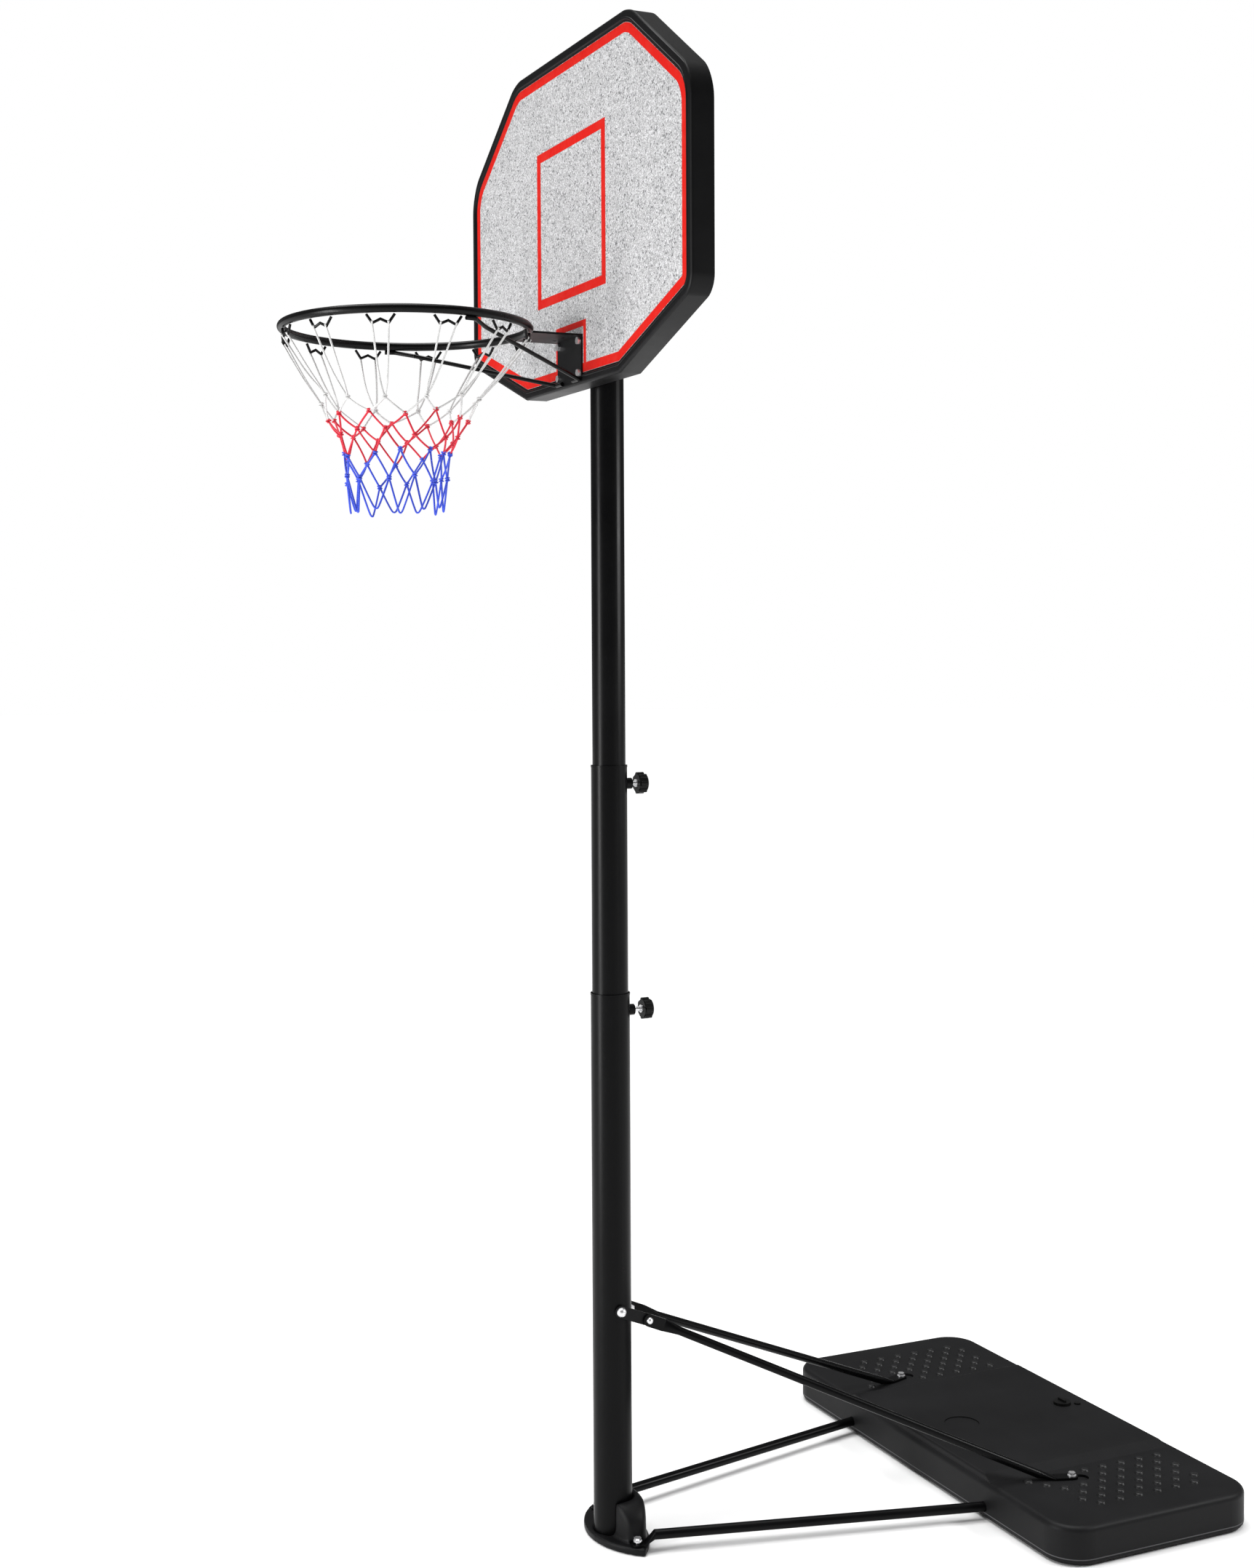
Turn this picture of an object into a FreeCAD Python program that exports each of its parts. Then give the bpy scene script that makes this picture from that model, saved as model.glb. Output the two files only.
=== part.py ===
import FreeCAD, Part
import math
import os
import re

import Sketcher
from FreeCAD import Placement, Rotation, Vector

# Portable basketball hoop, in millimetres, +Z up.  The board faces -Y, the ballast tank lies behind the
# pole at +Y, and the origin is on the floor below the middle of the whole object.

PARTS_FOLDER = "parts"

DIMENSIONS = {
    # Telescoping pole: three round steel tubes on one axis.
    "pole_y": -268,
    "tube_wall": 1.5,
    "lower_dia": 78,
    "mid_dia": 72,
    "top_dia": 66,
    "lower_bottom": 8,
    "lower_top": 1100,
    "mid_bottom": 555,
    "mid_top": 1555,
    "top_bottom": 1190,
    "top_end": 2750,
    "tube_lip": 4,
    "tube_lip_rise": 0.6,
    "pole_cap_thick": 4,
    "pole_cap_plug": 16,
    "pole_cap_wall": 2.5,
    # Clamp knobs that lock the tubes.
    "clamp_drop": 38,
    "clamp_nut_dia": 22,
    "clamp_nut_length": 12,
    "clamp_screw_dia": 10,
    "clamp_tip_gap": 0.3,
    "knob_dia": 44,
    "knob_depth": 20,
    "knob_lobe_radius": 5.5,
    "knob_lobe_count": 7,
    "knob_cap": 2.5,
    "collar_rise": 3,
    "collar_thick": 2.5,
    "lower_knob_reach": 30,
    "upper_knob_reach": 24,
    # Moulded foot: a flange under two fenders that stand beside the pole.
    "foot_half_length": 125,
    "foot_front": 50,
    "foot_back": 62,
    "foot_tip": 12,
    "foot_flange": 14,
    "fender_half_length": 113,
    "fender_front": 20,
    "fender_back": 56,
    "fender_height": 84,
    "foot_bolt_x": 97,
    "foot_bolt_y": 9,
    "foot_bolt_seat": 22,
    "foot_seat_radius": 14,
    "foot_slot_bottom": 12,
    "foot_slot_height": 6,
    "foot_tab_reach": 14,
    "foot_bend_reach": 24,
    "foot_bend_rise": 17,
    "foot_bend_run": 10,
    # Ballast tank.
    "tank_length": 1064,
    "tank_front": 717,
    "tank_depth": 478,
    "tank_height": 78,
    "tank_corner": 70,
    "tank_edge": 12,
    "tank_wall": 3.5,
    "deck_half_length": 250,
    "deck_ramp": 24,
    "deck_rise": 12,
    "deck_root": 20,
    "deck_edge": 6,
    "deck_front_inset": 6,
    "deck_back_inset": 22,
    "socket_x": 258,
    "socket_z": 25,
    "socket_depth": 66,
    "socket_wall": 4.5,
    "deck_bolt_x": 322,
    "deck_bolt_y": 890,
    "insert_dia": 14,
    "insert_length": 18,
    "insert_wall": 5,
    "dish_dia": 30,
    "dish_depth": 5,
    "dish_wall": 4,
    "dish_aside": 6,
    "dish_behind": 20,
    "emboss_y": 840,
    "emboss_dia": 76,
    "emboss_depth": 2,
    "cap_y": 1108,
    "cap_dia": 38,
    "cap_bore": 30,
    "cap_height": 6,
    "vent_x": 16,
    "vent_y": 1138,
    "vent_bore": 9,
    "vent_dia": 14,
    "neck_depth": 6,
    "plug_length": 12,
    "plug_gap": 0.3,
    "cap_grip_length": 24,
    "cap_grip_width": 5,
    "vent_height": 3.5,
    # Struts between the pole and the tank.
    "lower_strut_dia": 20,
    "upper_strut_dia": 17,
    "strut_wall": 1.2,
    "tab_thick": 5,
    "tab_width": 25,
    "tab_reach": 36,
    "bend_reach": 50,
    "bend_run": 22,
    "link_x": 45.5,
    "link_y": 60,
    "link_z": 442,
    "cross_bolt_z": 466,
    "cross_bolt_dia": 10,
    "link_thick": 3,
    "link_width": 24,
    "dome_radius": 10,
    "small_dome_radius": 7,
    # Fasteners: radii are to the corners of hexagons.
    "bolt_dia": 8,
    "hole_gap": 0.2,
    "panel_hole_gap": 0.3,
    "head_corner": 7.5,
    "head_height": 5.5,
    "nut_height": 6.5,
    "washer_radius": 9,
    "washer_thick": 1.6,
    "deck_bolt_length": 15,
    "bolt_end": 9,
    "ear_nut_corner": 9.2,
    "ear_head_height": 6.5,
    "ear_nut_height": 8,
    "ear_bolt_end": 11,
    # Backboard.
    "board_front": 80,
    "board_depth": 46,
    "board_bottom": 2298,
    "board_top": 2956,
    "board_half_width": 528,
    "board_side_low": 2405,
    "board_side_high": 2781,
    "board_bottom_half": 227,
    "board_top_half": 277,
    "board_corner": 40,
    "board_shoulder": 90,
    "board_wall": 6,
    "board_lip": 22,
    "board_lip_thick": 3,
    "panel_thick": 4,
    "panel_gap": 0.5,
    "rail_half_length": 518,
    "rail_height": 94,
    "rail_depth": 13,
    "rail_sheet": 2.5,
    "lower_rail_z": 2351,
    "upper_rail_z": 2690,
    "bracket_width": 132,
    "bracket_sheet": 3,
    "ear_reach": 76,
    "ear_height": 64,
    "ear_gap": 0.3,
    # Rim.
    "rim_radius": 233,
    "rim_rod": 16,
    "rim_y": 417,
    "rim_z": 2392,
    "plate_width": 116,
    "plate_height": 90,
    "plate_sheet": 4,
    "plate_top": 2394,
    "arm_lap": 20,
    "arm_hole_x": 22,
    "arm_hole_y": 22,
    "arm_hole_radius": 4.2,
    "rim_bolt_x": 49,
    "rim_bolt_rise": 31,
    "brace_dia": 8,
    "brace_angle": 76.5,
    "brace_run": 20,
    "knee_angle": 10,
    "knee_inset": 18,
    "knee_drop": 9,
    "brace_weld_x": 26,
    "hook_rod": 5,
    "hook_count": 12,
    "hook_drop": 26,
    "hook_half_width": 26,
    "hook_trough": 15,
    "hook_crown": 9,
    # Net.
    "net_top_radius": 204,
    "net_bottom_radius": 92,
    "net_length": 385,
    "net_skin": 3,
    "net_upper_share": 0.3,
    "net_upper_radius": 159,
    "net_lower_share": 0.62,
    "net_lower_radius": 112,
}

doc = FreeCAD.newDocument("portable_basketball_hoop")
sheet = doc.addObject("Spreadsheet::Sheet", "dims")


def fill_sheet():
    """One labelled row for each driving dimension."""
    for row, (alias, value) in enumerate(DIMENSIONS.items(), start=1):
        sheet.set(f"A{row}", alias)
        sheet.set(f"B{row}", str(value))
        sheet.setAlias(f"B{row}", alias)
    doc.recompute()


fill_sheet()


def size(alias):
    """The number that the sheet holds for one dimension."""
    return float(getattr(sheet, alias))


def formula(text):
    """An expression in which each word that is a dimension reads the sheet."""
    return re.sub(r"[a-z][a-z_]+", lambda word: "dims." + word[0] if word[0] in DIMENSIONS else word[0], text)


def bind(obj, prop, value):
    """Bind one property to a formula, or set a plain number."""
    if isinstance(value, str):
        obj.setExpression(prop, formula(value))
    else:
        obj.setExpression(prop, str(value))


def place(obj, at, turn=None):
    """Turn an object and bind its position to three formulas."""
    if turn is not None:
        obj.Placement = Placement(Vector(), turn)
    for letter, value in zip("xyz", at):
        bind(obj, f"Placement.Base.{letter}", value)


ALONG_X = Rotation(Vector(0, 0, 1), Vector(1, 0, 0))
ALONG_Y = Rotation(Vector(0, 0, 1), Vector(0, 1, 0))
CENTRE = ("0", "0", "0")
NEAR = 1e-3
BEND_SWELL = 1.05
SIDES = {"left": -1, "right": 1}


def cylinder(name, radius, height, at=CENTRE, turn=None):
    obj = doc.addObject("Part::Cylinder", name)
    bind(obj, "Radius", radius)
    bind(obj, "Height", height)
    place(obj, at, turn)
    return obj


def box(name, length, width, height, at=CENTRE, turn=None):
    obj = doc.addObject("Part::Box", name)
    bind(obj, "Length", length)
    bind(obj, "Width", width)
    bind(obj, "Height", height)
    place(obj, at, turn)
    return obj


def hexagon(name, across_corners, height, at=CENTRE, turn=None):
    obj = doc.addObject("Part::Prism", name)
    obj.Polygon = 6
    bind(obj, "Circumradius", across_corners)
    bind(obj, "Height", height)
    place(obj, at, turn)
    return obj


def dome(name, radius, at=CENTRE, turn=None):
    """Half a ball that stands on its flat side."""
    obj = doc.addObject("Part::Sphere", name)
    bind(obj, "Radius", radius)
    obj.Angle1 = 0
    place(obj, at, turn)
    return obj


def fuse(name, shapes):
    obj = doc.addObject("Part::MultiFuse", name)
    obj.Shapes = shapes
    return obj


def cut(name, base, tools):
    tool = tools[0] if len(tools) == 1 else fuse(name + "_tools", tools)
    obj = doc.addObject("Part::Cut", name)
    obj.Base = base
    obj.Tool = tool
    return obj


def common(name, first, second):
    obj = doc.addObject("Part::Common", name)
    obj.Base = first
    obj.Tool = second
    return obj


def group(name, solids):
    """Identical fasteners kept apart as separate solids of one sub-part."""
    obj = doc.addObject("Part::Compound", name)
    obj.Links = solids
    return obj


def solid_feature(name, shape):
    """A shape worked out in the whole object's frame, held by a plain feature at the origin."""
    obj = doc.addObject("Part::Feature", name)
    obj.Shape = shape
    obj.Placement = Placement()
    return obj


def size_of(text):
    """A formula's value as a plain number."""
    value = sheet.evalExpression(formula(text))
    return float(getattr(value, "Value", value))


subparts = []


def finish(obj, label):
    """Give a sub-part its label and keep it for the export."""
    obj.Label = label
    subparts.append(obj)
    return obj


# ---- sketches -------------------------------------------------------------------------------------------


def new_body(name):
    return doc.addObject("PartDesign::Body", name + "_body")


def new_sketch(body, name, role, offset="0"):
    """A sketch on one of the body's own origin planes, moved along the plane's normal."""
    sketch = body.newObject("Sketcher::SketchObject", name)
    plane = next(item for item in body.Origin.OriginFeatures if item.Role == role)
    sketch.AttachmentSupport = [(plane, "")]
    sketch.MapMode = "FlatFace"
    bind(sketch, "AttachmentOffset.Base.z", offset)
    return sketch


def sketch_circle(sketch, radius, x="0", y="0"):
    """A circle whose radius and centre are bound to formulas."""
    index = sketch.addGeometry(Part.Circle(Vector(0, 0, 0), Vector(0, 0, 1), 10), False)
    add_datum(sketch, "Radius", (index,), radius, 10)
    add_datum(sketch, "DistanceX", (-1, 1, index, 3), x, 0)
    add_datum(sketch, "DistanceY", (-1, 1, index, 3), y, 0)


def add_datum(sketch, kind, ends, value, start):
    """A dimension between two points, or of one curve, that follows a formula."""
    index = sketch.addConstraint(Sketcher.Constraint(kind, *ends, start))
    bind(sketch, f"Constraints[{index}]", value)


def sketch_outline(sketch, corners):
    """A closed outline of straight lines through corners that are bound to formulas."""
    values = [tuple(size_of(part) for part in corner) for corner in corners]
    count = len(corners)
    first = sketch.GeometryCount
    for i in range(count):
        start, end = values[i], values[(i + 1) % count]
        sketch.addGeometry(Part.LineSegment(Vector(*start, 0), Vector(*end, 0)), False)
    for i in range(count):
        sketch.addConstraint(Sketcher.Constraint("Coincident", first + i, 2, first + (i + 1) % count, 1))
    for i, corner in enumerate(corners):
        add_datum(sketch, "DistanceX", (-1, 1, first + i, 1), corner[0], values[i][0])
        add_datum(sketch, "DistanceY", (-1, 1, first + i, 1), corner[1], values[i][1])


def pad(body, sketch, name, length, reverse=False):
    feature = body.newObject("PartDesign::Pad", name)
    feature.Profile = sketch
    feature.Reversed = reverse
    bind(feature, "Length", length)
    sketch.Visibility = False
    return feature


def pocket(body, sketch, name, length, reverse=False):
    """A blind cut; it must take material away, which is compared by volume."""
    doc.recompute()
    before = body.Shape.Volume
    feature = body.newObject("PartDesign::Pocket", name)
    feature.Profile = sketch
    feature.Reversed = reverse
    bind(feature, "Length", length)
    doc.recompute()
    if body.Shape.Volume > before - 1:
        raise RuntimeError(f"{name} removes nothing")
    return feature


def fillet_edges(body, name, radius, wanted):
    """Round the edges of the body's tip that a test picks out."""
    doc.recompute()
    base = body.Tip
    names = [f"Edge{i}" for i, edge in enumerate(base.Shape.Edges, start=1) if wanted(edge)]
    feature = body.newObject("PartDesign::Fillet", name)
    feature.Base = (base, names)
    bind(feature, "Radius", radius)
    doc.recompute()
    return feature


def is_vertical(edge):
    reach = edge.BoundBox
    return reach.ZLength > NEAR and max(reach.XLength, reach.YLength) < NEAR


def at_height(edge, height):
    return edge.BoundBox.ZLength < NEAR and abs(edge.Vertexes[0].Z - height) < NEAR


# ---- pole -----------------------------------------------------------------------------------------------


def build_tube(name, outer, bottom, top, lipped):
    """One round tube, with a small rolled lip at an open upper end."""
    body = new_body(name)
    ring = new_sketch(body, name + "_ring", "XY_Plane", bottom)
    sketch_circle(ring, f"{outer} / 2")
    sketch_circle(ring, f"{outer} / 2 - tube_wall")
    pad(body, ring, name + "_wall", f"{top} - {bottom}")
    if lipped:
        lip = new_sketch(body, name + "_lip_ring", "XY_Plane", f"{top} - tube_lip")
        sketch_circle(lip, f"{outer} / 2 + tube_lip_rise")
        sketch_circle(lip, f"{outer} / 2 - tube_wall")
        pad(body, lip, name + "_lip", "tube_lip")
    place(body, ("0", "pole_y", "0"))
    return body


def clamp_hole(name, outer, top):
    """The hole behind the knob, through the tube's +Y wall only."""
    at = ("0", "pole_y + clamp_screw_dia", f"{top} - clamp_drop")
    return cylinder(name + "_clamp_hole", "clamp_screw_dia / 2 + hole_gap", f"{outer} / 2", at, ALONG_Y)


def cross_hole(name, height):
    """A hole along X right through the pole and what holds it."""
    at = ("-ear_reach", "pole_y", height)
    return cylinder(name, "cross_bolt_dia / 2 + hole_gap", "2 * ear_reach", at, ALONG_X)


def build_pole():
    lower = build_tube("lower_tube", "lower_dia", "lower_bottom", "lower_top", True)
    holes = [clamp_hole("lower", "lower_dia", "lower_top"), cross_hole("lower_cross_hole", "cross_bolt_z")]
    finish(cut("lower_tube", lower, holes), "lower_tube")

    mid = build_tube("mid_tube", "mid_dia", "mid_bottom", "mid_top", True)
    finish(cut("mid_tube", mid, [clamp_hole("mid", "mid_dia", "mid_top")]), "mid_tube")

    top = build_tube("top_tube", "top_dia", "top_bottom", "top_end", False)
    holes = [cross_hole("top_hole_" + level, level + "_rail_z") for level in ("lower", "upper")]
    finish(cut("top_tube", top, holes), "top_tube")

    inside = "top_dia / 2 - tube_wall - plug_gap"
    plug_bottom = ("0", "pole_y", "top_end - pole_cap_plug")
    disc = cylinder("cap_disc", "top_dia / 2 + tube_lip_rise", "pole_cap_thick", ("0", "pole_y", "top_end"))
    plug = cylinder("cap_plug", inside, "pole_cap_plug", plug_bottom)
    hollow = cylinder("cap_hollow", f"{inside} - pole_cap_wall", "pole_cap_plug", plug_bottom)
    finish(cut("pole_cap", fuse("cap_disc_and_plug", [disc, plug]), [hollow]), "pole_cap")


# ---- clamp knobs ----------------------------------------------------------------------------------------


def build_clamp(level, outer, inner, top, reach):
    """Welded nut, screw with a collar, and a lobed knob on the screw's outer end.

    The screw's tip stops just short of the tube inside.  The knob sits on a round shank.
    """
    height = f"{top} - clamp_drop"
    screw = "clamp_screw_dia / 2"
    nut_at = ("0", f"pole_y + {outer} / 2 - 1", height)
    nut = cylinder(level + "_nut_round", "clamp_nut_dia / 2", "clamp_nut_length + 1", nut_at, ALONG_Y)
    saddle_at = ("0", "pole_y", f"{height} - clamp_nut_dia")
    saddle = cylinder(level + "_nut_saddle", f"{outer} / 2", "clamp_nut_dia * 2", saddle_at)
    bore_at = ("0", "pole_y + clamp_nut_dia", height)
    bore = cylinder(level + "_nut_bore", f"{screw} + hole_gap", f"{outer}", bore_at, ALONG_Y)
    finish(cut(level + "_clamp_nut", nut, [saddle, bore]), level + "_clamp_nut")

    tip = f"{inner} / 2 + clamp_tip_gap"
    knob_start = f"{outer} / 2 + {reach}"
    knob_at = ("0", f"pole_y + {knob_start}", height)
    tip_at = ("0", f"pole_y + {tip}", height)
    collar_at = ("0", f"pole_y + {knob_start} - collar_thick", height)
    thread = cylinder(level + "_screw_thread", screw, f"{knob_start} - ({tip})", tip_at, ALONG_Y)
    collar = cylinder(level + "_screw_collar", f"{screw} + collar_rise", "collar_thick", collar_at, ALONG_Y)
    shank = cylinder(level + "_screw_shank", f"{screw} - 1", "knob_depth - knob_cap - 0.5", knob_at, ALONG_Y)
    finish(fuse(level + "_clamp_screw", [thread, collar, shank]), level + "_clamp_screw")
    build_knob(level, ("0", f"pole_y + {knob_start} + 0.05", height))


def build_knob(level, at):
    """A round knob with lobes along its edge and a blind bore for the screw's shank."""
    knob = new_body(level + "_knob")
    lobe_radius = "knob_lobe_radius"
    round_sketch = new_sketch(knob, level + "_knob_round", "XY_Plane")
    sketch_circle(round_sketch, "knob_dia / 2 - 4")
    pad(knob, round_sketch, level + "_knob_pad", "knob_depth")
    lobe_sketch = new_sketch(knob, level + "_knob_lobe", "XY_Plane", "1.5")
    sketch_circle(lobe_sketch, lobe_radius, f"knob_dia / 2 - {lobe_radius}", "0")
    lobe = pad(knob, lobe_sketch, level + "_lobe_pad", "knob_depth - 5")
    lobes = knob.newObject("PartDesign::PolarPattern", level + "_lobes")
    lobes.Originals = [lobe]
    lobes.Axis = (lobe_sketch, ["N_Axis"])
    lobes.Angle = 360
    bind(lobes, "Occurrences", "knob_lobe_count")
    knob.Tip = lobes
    doc.recompute()
    bore_sketch = new_sketch(knob, level + "_knob_bore", "XY_Plane")
    sketch_circle(bore_sketch, "clamp_screw_dia / 2 - 0.95")
    pocket(knob, bore_sketch, level + "_knob_bore_cut", "knob_depth - knob_cap", True)
    rim = size("knob_depth")
    crown = size("knob_dia")

    def is_rim(edge):
        return at_height(edge, rim) and edge.Length > crown

    fillet_edges(knob, level + "_knob_round_over", "2", is_rim)
    place(knob, at, ALONG_Y)
    finish(knob, level + "_clamp_knob")


# ---- foot -----------------------------------------------------------------------------------------------


def build_lens(name, half_length, front, back, height):
    """A lens-shaped slab round the pole, between two arcs that meet at its left and right tips."""
    rise = f"({front} + foot_tip)"
    fall = f"({back} - foot_tip)"
    front_radius = f"({half_length} ^ 2 + {rise} ^ 2) / (2 * {rise})"
    back_radius = f"({half_length} ^ 2 + {fall} ^ 2) / (2 * {fall})"
    front_at = ("0", f"pole_y - {front} + {front_radius}", "0")
    back_at = ("0", f"pole_y + {back} - {back_radius}", "0")
    front_arc = cylinder(name + "_front", front_radius, height, front_at)
    back_arc = cylinder(name + "_back", back_radius, height, back_at)
    return common(name, front_arc, back_arc)


# The fenders' outline seen from the front: (inward from the tip, share of the height above the flange).
FENDER_PROFILE = [(0, 0.06), (9, 0.22), (22, 0.46), (38, 0.74), (54, 0.93), (70, 1.0)]


def build_foot():
    """Moulded shoe: a lens-shaped flange under two fenders, bored for the pole and slotted for the struts."""
    flange = build_lens("foot_flange_lens", "foot_half_length", "foot_front", "foot_back", "foot_flange")
    lens = build_lens("fender_lens", "fender_half_length", "fender_front", "fender_back", "fender_height")
    bell = new_body("fender_bell")
    side = new_sketch(bell, "fender_bell_side", "XZ_Plane")
    right = [
        (f"fender_half_length - {inward}", f"foot_flange + (fender_height - foot_flange) * {share}")
        for inward, share in FENDER_PROFILE
    ]
    left = [(f"-({x})", z) for x, z in reversed(right)]
    sketch_outline(side, [("-fender_half_length", "0"), ("fender_half_length", "0"), *right, *left])
    pad(bell, side, "fender_bell_pad", "foot_front + foot_back + foot_half_length", True)
    place(bell, ("0", "pole_y - foot_half_length", "0"))
    shell = fuse("foot_shell", [flange, common("fenders", lens, bell)])

    cuts = [cylinder("foot_bore", "lower_dia / 2 + 0.25", "fender_height", ("0", "pole_y", "lower_bottom"))]
    slot_width = size("tab_width") + 3
    for side_name, sign in SIDES.items():
        spot = (f"{sign} * foot_bolt_x", "pole_y + foot_bolt_y")
        hole = "bolt_dia / 2 + hole_gap"
        seat_at = (*spot, "foot_bolt_seat")
        cuts.append(cylinder(f"foot_seat_{side_name}", "foot_seat_radius", "fender_height", seat_at))
        cuts.append(cylinder(f"foot_bolt_hole_{side_name}", hole, "fender_height", (*spot, "-1")))
        trap_at = (*spot, "-0.5")
        cuts.append(hexagon(f"foot_nut_trap_{side_name}", "head_corner + 0.2", "nut_height + 1.5", trap_at))
        turn = Rotation(Vector(0, 0, 1), -sign * strut_heading())
        runs = {
            "slot": (-slot_width / 2, "foot_slot_height"),
            "way_out": (size("foot_tab_reach") - 4, "fender_height"),
        }
        for kind, (start, height) in runs.items():
            corner = turn.multVec(Vector(-slot_width / 2, start, 0))
            channel = box(f"foot_{kind}_{side_name}", str(slot_width), "foot_back + foot_front", height)
            at = (f"{spot[0]} + {corner.x}", f"{spot[1]} + {corner.y}", "foot_slot_bottom")
            place(channel, at, turn)
            cuts.append(channel)
    finish(cut("pole_foot", shell, cuts), "pole_foot")


# ---- tank -----------------------------------------------------------------------------------------------


def strut_heading():
    """How far a lower strut turns outward from +Y, in degrees, seen from above."""
    across = size("socket_x") - size("foot_bolt_x")
    return math.degrees(math.atan2(across, size("tank_front") - size("foot_bolt_y")))


def tank_slab(name, grow, bottom, top, corner, edge):
    """A slab with rounded corners, grown or shrunk from the tank's outline, and rounded along its edges."""
    body = new_body(name)
    outline = new_sketch(body, name + "_outline", "XY_Plane", bottom)
    half = f"(tank_length / 2 + {grow})"
    sketch_outline(
        outline,
        [
            (f"-{half}", f"-({grow})"),
            (half, f"-({grow})"),
            (half, f"tank_depth + {grow}"),
            (f"-{half}", f"tank_depth + {grow}"),
        ],
    )
    pad(body, outline, name + "_pad", f"{top} - {bottom}")
    fillet_edges(body, name + "_corners", corner, is_vertical)
    levels = (size_of(bottom), size_of(top))
    fillet_edges(body, name + "_edges", edge, lambda item: any(at_height(item, level) for level in levels))
    place(body, ("0", "pole_y + tank_front", "0"))
    return body


def build_deck(name, inset):
    """The raised middle of the tank's top with ramped ends, or its hollow when moved inward by the wall."""
    body = new_body(name)
    outline = new_sketch(body, name + "_outline", "XZ_Plane")
    foot = f"(deck_half_length + deck_ramp - {inset})"
    crest = f"(deck_half_length - {inset})"
    bottom = "tank_height - deck_root"
    shelf = f"tank_height - {inset}"
    top = f"tank_height + deck_rise - {inset}"
    right = [(foot, bottom), (foot, shelf), (crest, top)]
    sketch_outline(outline, right + [(f"-{x}", z) for x, z in reversed(right)])
    pad(body, outline, name + "_pad", f"tank_depth - deck_front_inset - deck_back_inset - 2 * {inset}", True)
    level = size_of(top)
    fillet_edges(body, name + "_edge", f"deck_edge - {inset} / 2", lambda edge: at_height(edge, level))
    place(body, ("0", f"pole_y + tank_front + deck_front_inset + {inset}", "0"))
    return body


def lower_strut_line(sign):
    """The foot bolt's place, the level way out, the tube's bend, its mouth and its line into the tank."""
    heading = math.radians(strut_heading())
    level = Vector(sign * math.sin(heading), math.cos(heading), 0)
    hole = Vector(
        sign * size("foot_bolt_x"),
        size("pole_y") + size("foot_bolt_y"),
        size("foot_slot_bottom") + size("foot_slot_height") / 2,
    )
    bend = hole + level * size("foot_bend_reach") + Vector(0, 0, size("foot_bend_rise"))
    mouth = Vector(sign * size("socket_x"), size("pole_y") + size("tank_front"), size("socket_z"))
    line = (mouth - bend).normalize()
    return hole, level, bend, mouth, line


def socket_cylinder(name, sign, radius, start, length):
    """A cylinder on a lower strut's line, measured from the tank's front face."""
    direction = lower_strut_line(sign)[4]
    return cylinder(
        name,
        radius,
        length,
        (
            f"{sign} * socket_x + ({start}) * {direction.x}",
            f"pole_y + tank_front + ({start}) * {direction.y}",
            f"socket_z + ({start}) * {direction.z}",
        ),
        Rotation(Vector(0, 0, 1), direction),
    )


def tank_top_spots(side_name, sign, grow, insert_radius, insert_depth, dish_radius, dish_depth):
    """Cylinders at one strut bolt's insert and at the shallow dish beside it, for bores or for their walls."""
    spot = (f"{sign} * deck_bolt_x", "pole_y + deck_bolt_y")
    dish = (f"{sign} * (deck_bolt_x + dish_aside)", "pole_y + deck_bolt_y + dish_behind")
    insert_at = (*spot, f"tank_height - {insert_depth}")
    dish_at = (*dish, f"tank_height - {dish_depth}")
    return [
        cylinder(f"insert_{grow}_{side_name}", insert_radius, "tank_height", insert_at),
        cylinder(f"dish_{grow}_{side_name}", dish_radius, "tank_height", dish_at),
    ]


def build_tank():
    """Blow-moulded tank: hollow, with solid material round its sockets and threaded inserts."""
    slab = tank_slab("tank_slab", "0", "0", "tank_height", "tank_corner", "tank_edge")
    outside = fuse("tank_outside", [slab, build_deck("deck", "0")])

    inner_top = "tank_height - tank_wall"
    inner_corner, inner_edge = "tank_corner - tank_wall", "tank_edge - tank_wall"
    slab_hollow = tank_slab("slab_hollow", "-tank_wall", "tank_wall", inner_top, inner_corner, inner_edge)
    cavity = fuse("tank_cavity", [slab_hollow, build_deck("deck_hollow", "tank_wall")])
    fill_neck = ("0", "pole_y + cap_y", "tank_height - neck_depth")
    vent_neck = ("vent_x", "pole_y + vent_y", "tank_height - neck_depth")
    neck_height = "neck_depth + deck_rise"
    socket = "lower_strut_dia / 2"
    keep = [
        cylinder("fill_neck", "cap_bore / 2 + tank_wall", neck_height, fill_neck),
        cylinder("vent_neck", "vent_bore / 2 + tank_wall", neck_height, vent_neck),
    ]
    holes = []
    for side_name, sign in SIDES.items():
        wall_radius = f"{socket} + socket_wall"
        wall_name = f"socket_wall_{side_name}"
        keep.append(socket_cylinder(wall_name, sign, wall_radius, "-10", "socket_depth + 14"))
        keep += tank_top_spots(
            side_name, sign, "wall", "insert_dia / 2 + insert_wall", "(insert_length + 6)",
            "dish_dia / 2 + dish_wall", "(dish_depth + dish_wall)",
        )
        bore_name = f"socket_bore_{side_name}"
        holes.append(socket_cylinder(bore_name, sign, f"{socket} + 0.4", "-10", "socket_depth + 10"))
        holes += tank_top_spots(
            side_name, sign, "bore", "insert_dia / 2", "insert_length", "dish_dia / 2", "dish_depth"
        )
    deck = "tank_height + deck_rise"
    emboss = ("0", "pole_y + emboss_y", f"{deck} - emboss_depth")
    fill_hole = ("0", "pole_y + cap_y", "tank_height - deck_root")
    vent_hole = ("vent_x", "pole_y + vent_y", "tank_height - deck_root")
    holes += [
        cut("tank_hollow", cavity, keep),
        cylinder("emboss_cut", "emboss_dia / 2", "deck_root", emboss),
        cylinder("fill_bore", "cap_bore / 2", "tank_height", fill_hole),
        cylinder("vent_bore", "vent_bore / 2", "tank_height", vent_hole),
    ]
    finish(cut("base_tank", outside, holes), "base_tank")
    build_tank_plugs(deck)


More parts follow.
